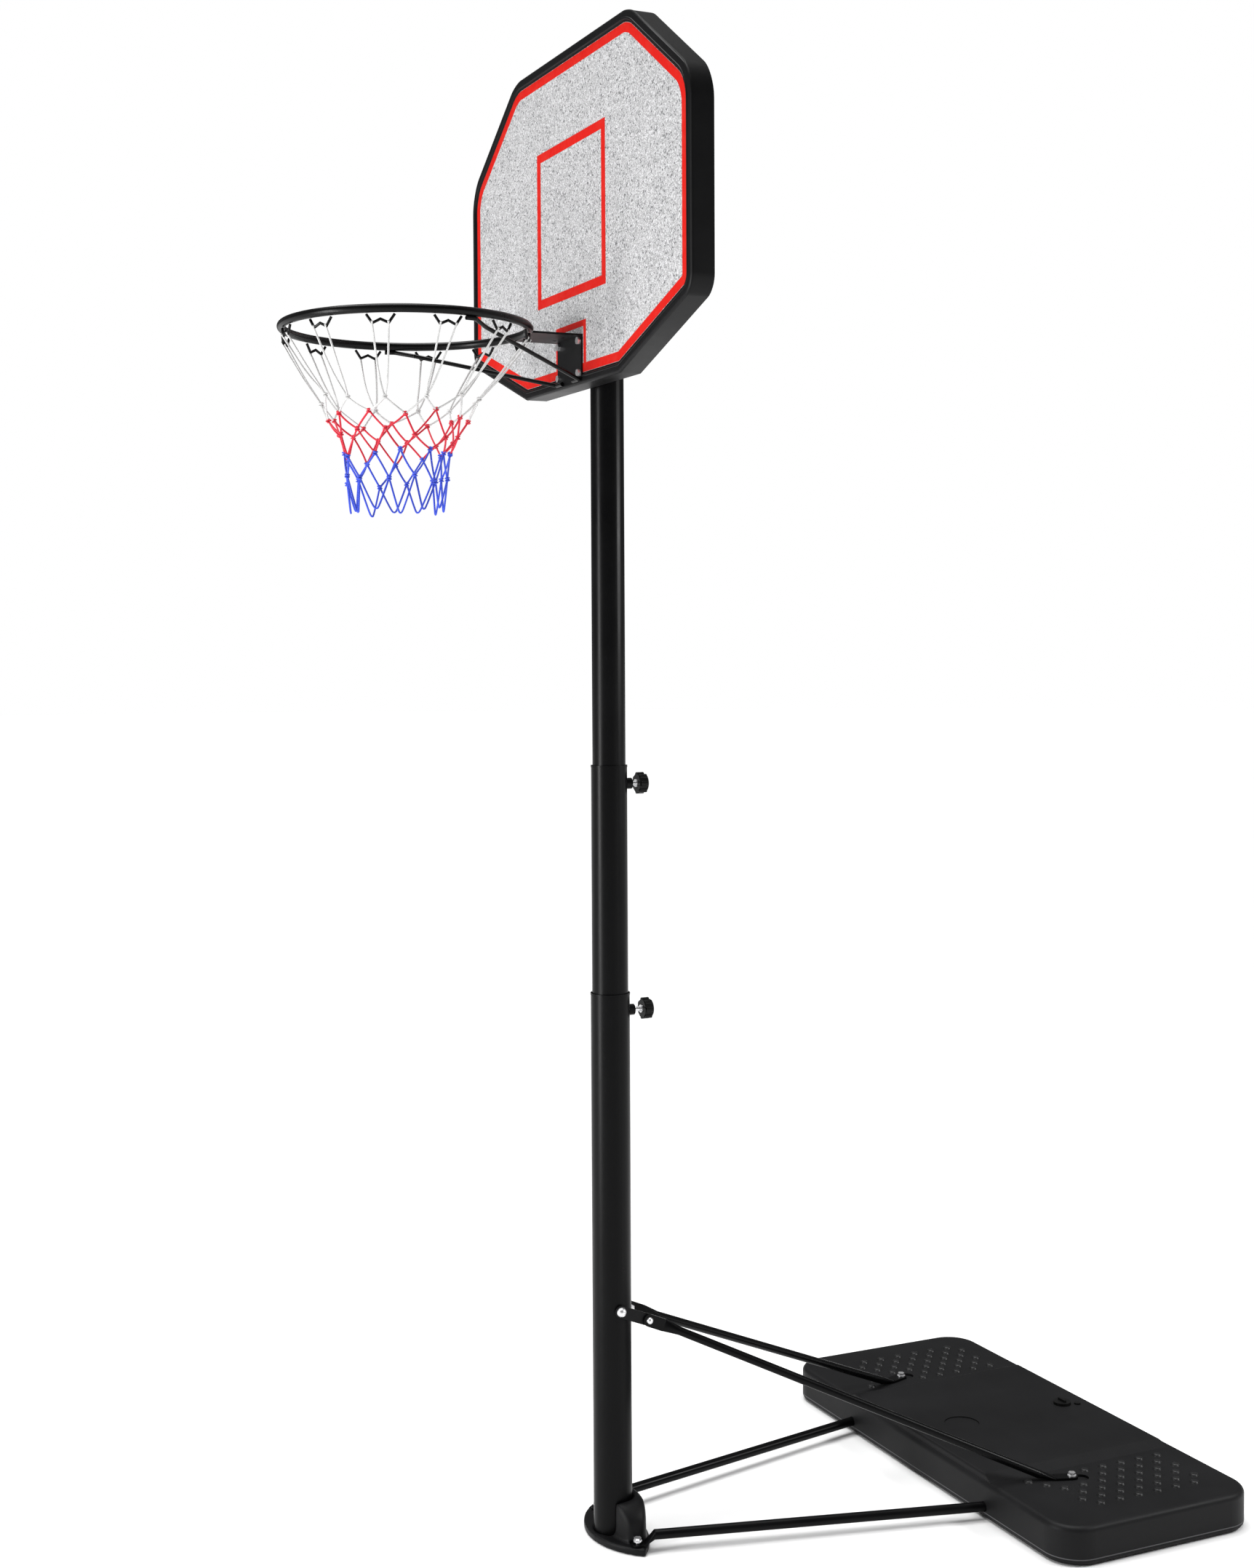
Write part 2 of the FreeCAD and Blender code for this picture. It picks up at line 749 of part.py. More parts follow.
def build_tank_plugs(deck):
    """Fill cap with a finger grip, and the small vent plug beside it."""
    cap_at = ("0", "pole_y + cap_y")
    vent_at = ("vent_x", "pole_y + vent_y")
    below = f"{deck} - plug_length"
    grip_at = ("-cap_grip_length / 2", "pole_y + cap_y - cap_grip_width / 2", f"{deck} + cap_height")
    disc = cylinder("fill_cap_disc", "cap_dia / 2", "cap_height", (*cap_at, deck))
    plug = cylinder("fill_cap_plug", "cap_bore / 2 - plug_gap", "plug_length", (*cap_at, below))
    grip = box("fill_cap_grip", "cap_grip_length", "cap_grip_width", "cap_grip_width", grip_at)
    finish(fuse("fill_cap", [disc, plug, grip]), "fill_cap")
    button = cylinder("vent_disc", "vent_dia / 2", "vent_height", (*vent_at, deck))
    stem = cylinder("vent_stem", "vent_bore / 2 - plug_gap", "plug_length", (*vent_at, below))
    finish(fuse("vent_plug", [button, stem]), "vent_plug")


# ---- struts ---------------------------------------------------------------------------------------------


def ellipse_wire(centre, direction, across, half_width, half_thick):
    """A closed wire: an ellipse or circle in the plane normal to direction, wide along across."""
    flat = (across - direction * across.dot(direction)).normalize()
    other = direction.cross(flat)
    if abs(half_width - half_thick) < NEAR:
        curve = Part.Circle(Vector(), Vector(0, 0, 1), half_width)
    else:
        curve = Part.Ellipse(Vector(), half_width, half_thick)
    columns = [(*step, 0) for step in (flat, other, direction)] + [(*centre, 1)]
    frame = FreeCAD.Matrix(*[columns[column][row] for row in range(4) for column in range(4)])
    return Part.Wire(Part.Wire(curve.toShape()).transformed(frame).Edges)


def tab_solid(hole, toward, normal, reach, hole_radius):
    """A flat tab: a slot-shaped plate from a round end behind its hole to its far end."""
    thick, width = size("tab_thick"), size("tab_width")
    side = normal.cross(toward)
    low = hole - normal * (thick / 2)
    a, b = low + side * (width / 2), low - side * (width / 2)
    c, d = b + toward * reach, a + toward * reach
    outline = Part.Wire(
        [
            Part.Arc(a, low - toward * (width / 2), b).toShape(),
            Part.LineSegment(b, c).toShape(),
            Part.LineSegment(c, d).toShape(),
            Part.LineSegment(d, a).toShape(),
        ]
    )
    plate = Part.Face(outline).extrude(normal * thick)
    bore = Part.makeCylinder(hole_radius, thick + 2, low - normal, normal)
    return plate.cut(bore)


def flattening(tab_end, toward, normal, tube_start, direction, radius):
    """The stretch where the tab opens out into the round tube."""
    side = normal.cross(toward)
    flat = ellipse_wire(tab_end, toward, side, size("tab_width") / 2, size("tab_thick") / 2)
    round_end = ellipse_wire(tube_start, direction, side, radius, radius)
    return Part.makeLoft([flat, round_end], True, False)


def build_strut(name, diameter, ends):
    """A tube with a flattened, drilled tab at each end that has one.

    Each end is (hole or open end, way out, tab normal or None, tab reach, bend, run past the bend).
    """
    radius = diameter / 2
    wall = size("strut_wall")
    bolt_radius = size("bolt_dia") / 2 + size("hole_gap")
    direction = (ends[1][4] - ends[0][4]).normalize()
    start = ends[0][4] + direction * ends[0][5]
    stop = ends[1][4] - direction * ends[1][5]
    length = (stop - start).Length
    tube = Part.makeCylinder(radius, length, start, direction)
    bore_length = length - 2 * wall if ends[1][2] else length
    solid = tube.cut(Part.makeCylinder(radius - wall, bore_length, start + direction * wall, direction))
    for (point, out, face, reach, _, _), tube_end, along in zip(ends, (start, stop), (direction, -direction)):
        if face:
            opening = flattening(point + out * reach, out, face, tube_end, along, radius)
            solid = solid.fuse(opening).fuse(tab_solid(point, out, face, reach, bolt_radius))
    if len(solid.Solids) != 1:
        raise RuntimeError(f"{name} is {len(solid.Solids)} solids")
    finish(solid_feature(name, solid), name)


def build_struts():
    """Two lower struts from the foot to the tank's sockets, and two upper ones from the links to the deck."""
    upright, reach, run = Vector(0, 0, 1), size("tab_reach"), size("bend_run")
    for side_name, sign in SIDES.items():
        hole, level, bend, mouth, line = lower_strut_line(sign)
        inner_end = mouth + line * (size("socket_depth") - 1)
        foot_end = (hole, level, upright, size("foot_tab_reach"), bend, size("foot_bend_run"))
        tank_end = (inner_end, line, None, 0, inner_end, 0)
        build_strut(f"lower_strut_{side_name}", size("lower_strut_dia"), (foot_end, tank_end))

        half_tab = size("tab_thick") / 2
        link = Vector(sign * (size("link_x") + half_tab), size("pole_y") + size("link_y"), size("link_z"))
        deck = Vector(
            sign * size("deck_bolt_x"), size("pole_y") + size("deck_bolt_y"), size("tank_height") + half_tab
        )
        down = Vector(0, deck.y - link.y, deck.z - link.z).normalize()
        back = Vector(link.x - deck.x, link.y - deck.y, 0).normalize()
        top_end = (link, down, Vector(1, 0, 0), reach, link + down * size("bend_reach"), run)
        deck_end = (deck, back, upright, reach, deck + back * size("bend_reach"), run)
        build_strut(f"upper_strut_{side_name}", size("upper_strut_dia"), (top_end, deck_end))


def build_links():
    """Flat links that hang the upper struts on the pole's cross bolt."""
    for side_name, sign in SIDES.items():
        body = new_body(f"link_{side_name}")
        outline = new_sketch(body, f"link_outline_{side_name}", "YZ_Plane")
        sketch_circle(outline, "link_width / 2")
        pad(body, outline, f"link_end_{side_name}", "link_thick")
        second = new_sketch(body, f"link_second_{side_name}", "YZ_Plane")
        sketch_circle(second, "link_width / 2", "link_y", "link_z - cross_bolt_z")
        pad(body, second, f"link_second_end_{side_name}", "link_thick")
        drop = size("link_z") - size("cross_bolt_z")
        reach = math.hypot(size("link_y"), drop)
        across = Vector(-drop / reach, size("link_y") / reach, 0) * (size("link_width") / 2)
        bar = new_sketch(body, f"link_bar_{side_name}", "YZ_Plane")
        sketch_outline(
            bar,
            [
                (f"{-across.x}", f"{-across.y}"),
                (f"link_y + {-across.x}", f"link_z - cross_bolt_z + {-across.y}"),
                (f"link_y + {across.x}", f"link_z - cross_bolt_z + {across.y}"),
                (f"{across.x}", f"{across.y}"),
            ],
        )
        pad(body, bar, f"link_bar_pad_{side_name}", "link_thick")
        holes = new_sketch(body, f"link_holes_{side_name}", "YZ_Plane")
        sketch_circle(holes, "cross_bolt_dia / 2 + 0.2")
        sketch_circle(holes, "bolt_dia / 2 + 0.2", "link_y", "link_z - cross_bolt_z")
        pocket(body, holes, f"link_hole_cut_{side_name}", "link_thick", True)
        start = "link_x - link_thick" if sign > 0 else "-link_x"
        place(body, (start, "pole_y", "cross_bolt_z"))
        finish(body, f"strut_link_{side_name}")


# ---- fasteners ------------------------------------------------------------------------------------------


def pierced_nut(name, corner, height, thread_radius, at, turn=None):
    """A hexagon nut with a round bore where its bolt's thread is."""
    nut = hexagon(name + "_hex", corner, height, at, turn)
    return cut(name, nut, [cylinder(name + "_thread", thread_radius, height, at, turn)])


def washer_bolt(name, spot, seat, length):
    """A hexagon bolt with a washer under its head, pointing down from its seat."""
    washer = cylinder(name + "_washer", "washer_radius", "washer_thick", (*spot, seat))
    head = hexagon(name + "_head", "head_corner", "head_height", (*spot, f"{seat} + washer_thick"))
    stem = cylinder(name + "_stem", "bolt_dia / 2", length, (*spot, f"{seat} - ({length})"))
    return fuse(name, [washer, head, stem])


def build_cross_bolt():
    """The bolt through the pole and both links, with a domed head and a domed nut."""
    outward = Rotation(Vector(0, 0, 1), Vector(-1, 0, 0))
    seat = ("-link_x - 2", "pole_y", "cross_bolt_z")
    end = ("-link_x - bolt_end", "pole_y", "cross_bolt_z")
    head = dome("cross_bolt_head", "dome_radius", ("link_x", "pole_y", "cross_bolt_z"), ALONG_X)
    stem = cylinder("cross_bolt_stem", "cross_bolt_dia / 2", "2 * link_x + bolt_end", end, ALONG_X)
    finish(fuse("cross_bolt", [head, stem]), "cross_bolt")
    cap = dome("cross_nut_dome", "dome_radius", seat, outward)
    flat = cylinder("cross_nut_seat", "dome_radius", "2", seat, ALONG_X)
    thread = cylinder("cross_nut_thread", "cross_bolt_dia / 2", "bolt_end", end, ALONG_X)
    finish(cut("cross_bolt_nut", fuse("cross_nut_body", [cap, flat]), [thread]), "cross_bolt_nut")


def build_strut_fasteners():
    """Bolts and nuts of the links, foot and tank."""
    labels = ("link_bolts", "link_nuts", "deck_bolts", "deck_inserts", "foot_bolts", "foot_nuts")
    kinds = {label: [] for label in labels}
    thread = "bolt_dia / 2"
    for side_name, sign in SIDES.items():
        outward = Rotation(Vector(0, 0, 1), Vector(sign, 0, 0))
        head_at = (f"{sign} * (link_x + tab_thick)", "pole_y + link_y", "link_z")
        nut_at = (f"{sign} * (link_x - link_thick - nut_height)", "pole_y + link_y", "link_z")
        head = dome(f"link_bolt_head_{side_name}", "small_dome_radius", head_at, outward)
        reach = "tab_thick + link_thick + nut_height"
        stem = cylinder(f"link_bolt_stem_{side_name}", thread, reach, nut_at, outward)
        kinds["link_bolts"].append(fuse(f"link_bolt_{side_name}", [head, stem]))
        nut = pierced_nut(f"link_nut_{side_name}", "head_corner", "nut_height", thread, nut_at, outward)
        kinds["link_nuts"].append(nut)

        deck_spot = (f"{sign} * deck_bolt_x", "pole_y + deck_bolt_y")
        bolt_length = "(tab_thick + deck_bolt_length)"
        kinds["deck_bolts"].append(
            washer_bolt(f"deck_bolt_{side_name}", deck_spot, "tank_height + tab_thick", bolt_length)
        )
        insert_at = (*deck_spot, "tank_height - insert_length")
        hole_at = (*deck_spot, "tank_height - deck_bolt_length - 1")
        insert = cylinder(f"deck_insert_round_{side_name}", "insert_dia / 2", "insert_length", insert_at)
        hole = cylinder(f"deck_insert_thread_{side_name}", thread, "deck_bolt_length + 1", hole_at)
        kinds["deck_inserts"].append(cut(f"deck_insert_{side_name}", insert, [hole]))

        foot_spot = (f"{sign} * foot_bolt_x", "pole_y + foot_bolt_y")
        kinds["foot_bolts"].append(
            washer_bolt(f"foot_bolt_{side_name}", foot_spot, "foot_bolt_seat", "(foot_bolt_seat - 1)")
        )
        kinds["foot_nuts"].append(
            pierced_nut(f"foot_nut_{side_name}", "head_corner", "nut_height", thread, (*foot_spot, "1"))
        )
    for label, solids in kinds.items():
        finish(group(label, solids), label)


# ---- backboard ------------------------------------------------------------------------------------------


def board_corners(inset):
    """The board's eight corners, moved inward square to each side."""
    half = size("board_half_width")
    corners = [
        (size("board_bottom_half"), size("board_bottom")),
        (half, size("board_side_low")),
        (half, size("board_side_high")),
        (size("board_top_half"), size("board_top")),
    ]
    outline = corners + [(-x, z) for x, z in reversed(corners)]
    moved = []
    for i, point in enumerate(outline):
        before, after = outline[i - 1], outline[(i + 1) % len(outline)]
        to_here = Vector(point[0] - before[0], point[1] - before[1], 0).normalize()
        to_next = Vector(after[0] - point[0], after[1] - point[1], 0).normalize()
        bisector = (Vector(-to_here.y, to_here.x, 0) + Vector(-to_next.y, to_next.x, 0)).normalize()
        shift = inset / bisector.dot(Vector(-to_here.y, to_here.x, 0))
        moved.append((point[0] + bisector.x * shift, point[1] + bisector.y * shift))
    return moved


def board_prism(name, inset, front, depth):
    """A board-shaped slab; its side corners and shoulders are rounded to suit the inset."""
    body = new_body(name)
    outline = new_sketch(body, name + "_outline", "XZ_Plane")
    sketch_outline(outline, [(str(x), str(z)) for x, z in board_corners(size_of(inset))])
    pad(body, outline, name + "_pad", depth, True)
    reach = size("board_corner")
    radii = {
        "board_corner": [size("board_side_low")],
        "board_shoulder": [size("board_side_high"), size("board_top")],
    }
    for radius, heights in radii.items():

        def near_height(edge):
            point = edge.Vertexes[0]
            across = edge.BoundBox.YLength > 1 and edge.BoundBox.ZLength < NEAR
            return across and any(abs(point.Z - height) < reach for height in heights)

        fillet_edges(body, f"{name}_{radius}", f"{radius} - {inset}", near_height)
    place(body, ("0", f"pole_y - board_front + ({front})", "0"))
    return body


def rim_bolt_spots(height):
    """Where the four bolts of a rail are: (x, z) formulas."""
    return [(f"{x} * rim_bolt_x", f"{height} + {z} * rim_bolt_rise") for x in (-1, 1) for z in (-1, 1)]


def bolt_holes(name, height, length, start):
    """Clearance holes along Y for a rail's four bolts."""
    return [
        cylinder(f"{name}_{i}", "bolt_dia / 2 + panel_hole_gap", length, (x, start, z), ALONG_Y)
        for i, (x, z) in enumerate(rim_bolt_spots(height))
    ]


PANEL_BACK = "pole_y - board_front + board_lip_thick + panel_thick"
RAIL_BACK = PANEL_BACK + " + rail_depth"
EAR_FACE = "top_dia / 2 + ear_gap"


def build_board():
    """Frame with a front lip, and a thin panel set in behind the lip."""
    outer = board_prism("frame_outer", "0", "0", "board_depth")
    window = board_prism("frame_window", "board_lip", "-1", "board_depth + 2")
    recess = board_prism("frame_recess", "board_wall", "board_lip_thick", "board_depth")
    notch_at = ("-plate_width / 2 - 1", "pole_y - board_front", "plate_top - plate_height - 1")
    notch = box("frame_plate_notch", "plate_width + 2", "board_lip_thick", "board_lip", notch_at)
    finish(cut("board_frame", outer, [window, recess, notch]), "board_frame")

    panel = board_prism("panel_slab", "board_wall + panel_gap", "board_lip_thick", "panel_thick")
    holes = bolt_holes("panel_hole", "lower_rail_z", "board_depth", "pole_y - board_front - 10")
    finish(cut("board_panel", panel, holes), "board_panel")


def build_rail(level):
    """A pressed channel across the back of the panel, open towards it."""
    height = f"{level}_rail_z"
    outer_at = ("-rail_half_length", PANEL_BACK, f"{height} - rail_height / 2")
    inner_at = ("-rail_half_length - 1", PANEL_BACK, f"{height} - rail_height / 2 + rail_sheet")
    outer = box(f"{level}_rail_outer", "2 * rail_half_length", "rail_depth", "rail_height", outer_at)
    inner_height = "rail_height - 2 * rail_sheet"
    inner_depth = "rail_depth - rail_sheet"
    inner = box(f"{level}_rail_inner", "2 * rail_half_length + 2", inner_depth, inner_height, inner_at)
    holes = bolt_holes(f"{level}_rail_hole", height, "board_depth", "pole_y - board_front")
    return cut(f"{level}_rail_channel", outer, [inner, *holes])


def build_rails():
    """The upper rail is full width; the lower one is trimmed to the board's tapering lower corners."""
    finish(build_rail("upper"), "upper_board_rail")
    trim = board_prism("rail_trim", "board_wall + 2 * panel_gap", "0", "board_depth")
    finish(common("lower_rail_trimmed", build_rail("lower"), trim), "lower_board_rail")


def build_bracket(level):
    """A plate on the back of the rail with two ears that hold the pole between them."""
    height = f"{level}_rail_z"
    plate_at = ("-bracket_width / 2", RAIL_BACK, f"{height} - rail_height / 2")
    parts = [box(f"{level}_bracket_plate", "bracket_width", "bracket_sheet", "rail_height", plate_at)]
    for side_name, start in (("left", f"-({EAR_FACE}) - bracket_sheet"), ("right", EAR_FACE)):
        ear_at = (start, RAIL_BACK, f"{height} - ear_height / 2")
        ear_name = f"{level}_bracket_ear_{side_name}"
        parts.append(box(ear_name, "bracket_sheet", "ear_reach", "ear_height", ear_at))
    holes = bolt_holes(f"{level}_bracket_hole", height, "board_depth", f"{RAIL_BACK} - rail_sheet")
    holes.append(cross_hole(f"{level}_bracket_cross", height))
    finish(cut(f"{level}_pole_bracket", fuse(f"{level}_bracket_body", parts), holes), f"{level}_pole_bracket")


def build_board_fasteners():
    """Rim bolts in the lower rail, shorter rail bolts in the upper one, a cross bolt in each bracket."""
    back = f"{RAIL_BACK} + bracket_sheet"
    thread = "bolt_dia / 2"
    backward = Rotation(Vector(0, 0, 1), Vector(0, -1, 0))
    starts = {
        "rim": ("pole_y - board_front + board_lip_thick - plate_sheet", "lower_rail_z"),
        "rail": (f"{RAIL_BACK} - rail_sheet", "upper_rail_z"),
    }
    for kind, (start, height) in starts.items():
        bolts, nuts = [], []
        for i, (x, z) in enumerate(rim_bolt_spots(height)):
            length = f"{back} + bolt_end - ({start})"
            head = hexagon(f"{kind}_bolt_head_{i}", "head_corner", "head_height", (x, start, z), backward)
            stem = cylinder(f"{kind}_bolt_stem_{i}", thread, length, (x, start, z), ALONG_Y)
            bolts.append(fuse(f"{kind}_bolt_{i}", [head, stem]))
            nut_at = (x, back, z)
            nut = pierced_nut(f"{kind}_nut_{i}", "head_corner", "nut_height", thread, nut_at, ALONG_Y)
            nuts.append(nut)
        finish(group(f"{kind}_bolts", bolts), f"{kind}_bolts")
        finish(group(f"{kind}_nuts", nuts), f"{kind}_nuts")

    ear = f"{EAR_FACE} + bracket_sheet"
    thread = "cross_bolt_dia / 2"
    bolts, nuts = [], []
    for level in ("lower", "upper"):
        height = f"{level}_rail_z"
        end_at = (f"-({ear}) - ear_bolt_end", "pole_y", height)
        nut_at = (f"-({ear}) - ear_nut_height", "pole_y", height)
        head_at = (ear, "pole_y", height)
        head = hexagon(f"{level}_ear_head", "ear_nut_corner", "ear_head_height", head_at, ALONG_X)
        stem = cylinder(f"{level}_ear_stem", thread, f"2 * ({ear}) + ear_bolt_end", end_at, ALONG_X)
        bolts.append(fuse(f"{level}_ear_bolt", [head, stem]))
        nut = pierced_nut(f"{level}_ear_nut", "ear_nut_corner", "ear_nut_height", thread, nut_at, ALONG_X)
        nuts.append(nut)
    finish(group("bracket_bolts", bolts), "bracket_bolts")
    finish(group("bracket_nuts", nuts), "bracket_nuts")


# ---- rim ------------------------------------------------------------------------------------------------


def build_rim_plate():
    """Folded steel plate: one leaf bolted to the panel, the other reaching out to the back of the ring."""
    left = "-plate_width / 2"
    face = "pole_y - board_front + board_lip_thick - plate_sheet"
    leaf_at = (left, face, "plate_top - plate_height")
    leaf = box("rim_leaf", "plate_width", "plate_sheet", "plate_height", leaf_at)
    arm_end = "pole_y - rim_y + rim_radius - arm_lap - plate_sheet"
    arm_length = "rim_y - rim_radius - board_front + board_lip_thick + arm_lap"
    arm = box("rim_arm", "plate_width", arm_length, "plate_sheet", (left, arm_end, "plate_top - plate_sheet"))
    ring_at = ("0", "pole_y - rim_y", "plate_top - arm_lap")
    ring_clear = cylinder("rim_arm_notch", "rim_radius + rim_rod / 2", "2 * arm_lap", ring_at)
    holes = bolt_holes("rim_leaf_hole", "lower_rail_z", "board_depth", "pole_y - board_front - 15")
    for i, sign in enumerate(SIDES.values()):
        at = (f"{sign} * arm_hole_x", "pole_y - board_front - arm_hole_y", "plate_top - arm_lap")
        holes.append(cylinder(f"rim_arm_hole_{i}", "arm_hole_radius", "2 * arm_lap", at))
    arm_cut = cut("rim_arm_shaped", arm, [ring_clear])
    finish(cut("rim_plate", fuse("rim_plate_body", [leaf, arm_cut]), holes), "rim_plate")


def build_rim_ring():
    ring = doc.addObject("Part::Torus", "rim_ring_torus")
    bind(ring, "Radius1", "rim_radius")
    bind(ring, "Radius2", "rim_rod / 2")
    place(ring, ("0", "pole_y - rim_y", "rim_z"))
    finish(ring, "rim_ring")


def rod_path(points, radius):
    """A rod of round section along straight runs, with a slightly larger ball where two runs meet."""
    pieces = []
    for start, end in zip(points, points[1:]):
        pieces.append(Part.makeCylinder(radius, (end - start).Length, start, end - start))
    for point in points[1:-1]:
        pieces.append(Part.makeSphere(radius * BEND_SWELL, point))
    return pieces[0].multiFuse(pieces[1:])


def build_rim_hooks():
    """W-shaped wire hooks welded under the ring, evenly spaced."""
    rod = size("hook_rod") / 2
    radius, ring_rod = size("rim_radius"), size("rim_rod") / 2
    centre = Vector(0, size("pole_y") - size("rim_y"), size("rim_z"))
    count = int(size("hook_count"))
    top = -ring_rod - rod * 0.9
    low = -size("hook_drop")
    half, trough, crown = size("hook_half_width"), size("hook_trough"), top - size("hook_crown")
    profile = [(-half, top), (-trough, low), (0, crown), (trough, low), (half, top)]
    points = []
    for along, drop in profile:
        turn = along / radius
        points.append(centre + Vector(radius * math.sin(turn), radius * math.cos(turn), drop))
    hook = rod_path(points, rod)
    hooks = []
    for i in range(count):
        turned = hook.copy()
        turned.rotate(centre, Vector(0, 0, 1), 360 * i / count)
        hooks.append(turned)
    finish(solid_feature("rim_hooks", Part.makeCompound(hooks)), "rim_hooks")


def build_braces():
    """Two thin rods from the plate's lower corners to the ring's underside, bent near both ends."""
    rod = size("brace_dia") / 2
    centre = Vector(0, size("pole_y") - size("rim_y"), size("rim_z"))
    angle = math.radians(size("brace_angle"))
    for side_name, sign in SIDES.items():
        ring_point = centre + Vector(
            sign * size("rim_radius") * math.sin(angle),
            size("rim_radius") * math.cos(angle),
            -size("rim_rod") / 2 - rod,
        )
        plate_front = size("pole_y") - size("board_front") + size("board_lip_thick") - size("plate_sheet")
        weld_z = size("plate_top") - size("plate_height") + rod - 1
        weld_start = Vector(sign * size("brace_weld_x"), plate_front - rod, weld_z)
        weld_end = Vector(sign * (size("plate_width") / 2 - 4), plate_front - rod, weld_z)
        along = Vector(math.cos(angle) * sign, -math.sin(angle), 0)
        knee_angle = angle - math.radians(size("knee_angle"))
        knee_radius = size("rim_radius") - size("knee_inset")
        knee = centre + Vector(
            sign * knee_radius * math.sin(knee_angle),
            knee_radius * math.cos(knee_angle),
            ring_point.z - centre.z - size("knee_drop"),
        )
        points = [weld_start, weld_end, knee, ring_point, ring_point + along * size("brace_run")]
        finish(solid_feature(f"rim_brace_{side_name}", rod_path(points, rod)), f"rim_brace_{side_name}")


def build_net():
    """The net's true outer shape as one thin open sleeve, wide at the hooks and narrow at the bottom."""
    skin = size("net_skin")
    top = size("rim_z") - size("hook_drop") - size("hook_rod")
    bottom = top - size("net_length")
    profile = [
        (size("net_top_radius"), top),
        (size("net_upper_radius"), top - size("net_length") * size("net_upper_share")),
        (size("net_lower_radius"), top - size("net_length") * size("net_lower_share")),
        (size("net_bottom_radius"), bottom),
    ]
    axis = Vector(0, size("pole_y") - size("rim_y"), 0)
    outer = [axis + Vector(radius, 0, z) for radius, z in profile]
    inner = [axis + Vector(radius - skin, 0, z) for radius, z in reversed(profile)]
    loop = outer + inner
    edges = [Part.LineSegment(a, b).toShape() for a, b in zip(loop, loop[1:] + loop[:1])]
    sleeve = Part.Face(Part.Wire(edges)).revolve(axis, Vector(0, 0, 1), 360)
    finish(solid_feature("net", sleeve), "net")


# ---- build and write ------------------------------------------------------------------------------------


def check_document():
    doc.recompute()
    for obj in doc.Objects:
        if {"Invalid", "Error"} & set(obj.State):
            raise RuntimeError(f"{obj.Name} failed: {obj.State}")
    for obj in subparts:
        if obj.Shape.isNull() or not obj.Shape.isValid() or not obj.Shape.Solids:
            raise RuntimeError(f"{obj.Label} has no valid solid")


def write_parts():
    os.makedirs(PARTS_FOLDER, exist_ok=True)
    for obj in subparts:
        obj.Shape.exportStep(os.path.join(PARTS_FOLDER, obj.Label + ".step"))
    print(f"{len(subparts)} sub-parts written")


build_pole()
build_clamp("lower", "lower_dia", "mid_dia", "lower_top", "lower_knob_reach")
build_clamp("upper", "mid_dia", "top_dia", "mid_top", "upper_knob_reach")
build_foot()
build_tank()
build_struts()
build_links()
build_cross_bolt()
build_strut_fasteners()
build_board()
build_rails()
build_bracket("lower")
build_bracket("upper")
build_board_fasteners()
build_rim_plate()
build_rim_ring()
build_rim_hooks()
build_braces()
build_net()
check_document()
write_parts()
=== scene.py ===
"""The looks of a portable basketball hoop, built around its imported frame.

Lengths are in metres, +Z up.  The board faces -Y and the ballast tank lies at +Y.
"""

import logging
import math
import random
from dataclasses import dataclass
from enum import Enum

import bmesh
import bpy
from mathutils import Matrix, Vector


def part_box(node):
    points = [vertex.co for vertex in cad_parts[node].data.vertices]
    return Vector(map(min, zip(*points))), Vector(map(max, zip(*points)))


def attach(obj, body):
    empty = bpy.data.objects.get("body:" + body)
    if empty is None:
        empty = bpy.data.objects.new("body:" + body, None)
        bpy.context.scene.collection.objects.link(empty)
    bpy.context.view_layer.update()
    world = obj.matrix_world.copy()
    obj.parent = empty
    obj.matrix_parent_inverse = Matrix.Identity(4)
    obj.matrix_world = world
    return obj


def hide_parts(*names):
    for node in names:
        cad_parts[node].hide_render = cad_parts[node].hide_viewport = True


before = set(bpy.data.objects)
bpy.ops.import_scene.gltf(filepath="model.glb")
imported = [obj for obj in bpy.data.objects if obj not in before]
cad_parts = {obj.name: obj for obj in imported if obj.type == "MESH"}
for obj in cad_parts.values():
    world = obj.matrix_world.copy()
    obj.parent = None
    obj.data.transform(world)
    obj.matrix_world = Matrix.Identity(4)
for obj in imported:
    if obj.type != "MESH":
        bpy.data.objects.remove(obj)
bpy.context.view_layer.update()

LOG = logging.getLogger("basketball_hoop")

Colour = tuple[float, float, float]
Point = tuple[float, float, float]
Shape = bmesh.types.BMesh
Socket = bpy.types.NodeSocket


class Body(Enum):
    """The frame's bodies that new pieces ride on."""

    BASE = "base_frame"
    TOP = "top_section"


class Slot(Enum):
    """The record's material slots."""

    POLE = "pole_paint"
    BRACKET = "bracket_paint"
    RIM = "rim_paint"
    ZINC = "zinc_fasteners"
    BRASS = "brass_inserts"
    TANK = "tank_plastic"
    FOOT = "foot_plastic"
    FRAME = "frame_plastic"
    PANEL = "panel_plastic"
    KNOB = "knob_plastic"
    CAP = "cap_plastic"
    NET = "net_cord"


class CordColour(Enum):
    """The three dyed bands of the net, from the hooks down."""

    WHITE = (0.58, 0.58, 0.575)
    RED = (0.62, 0.012, 0.035)
    BLUE = (0.035, 0.075, 0.60)


# ---- materials ----


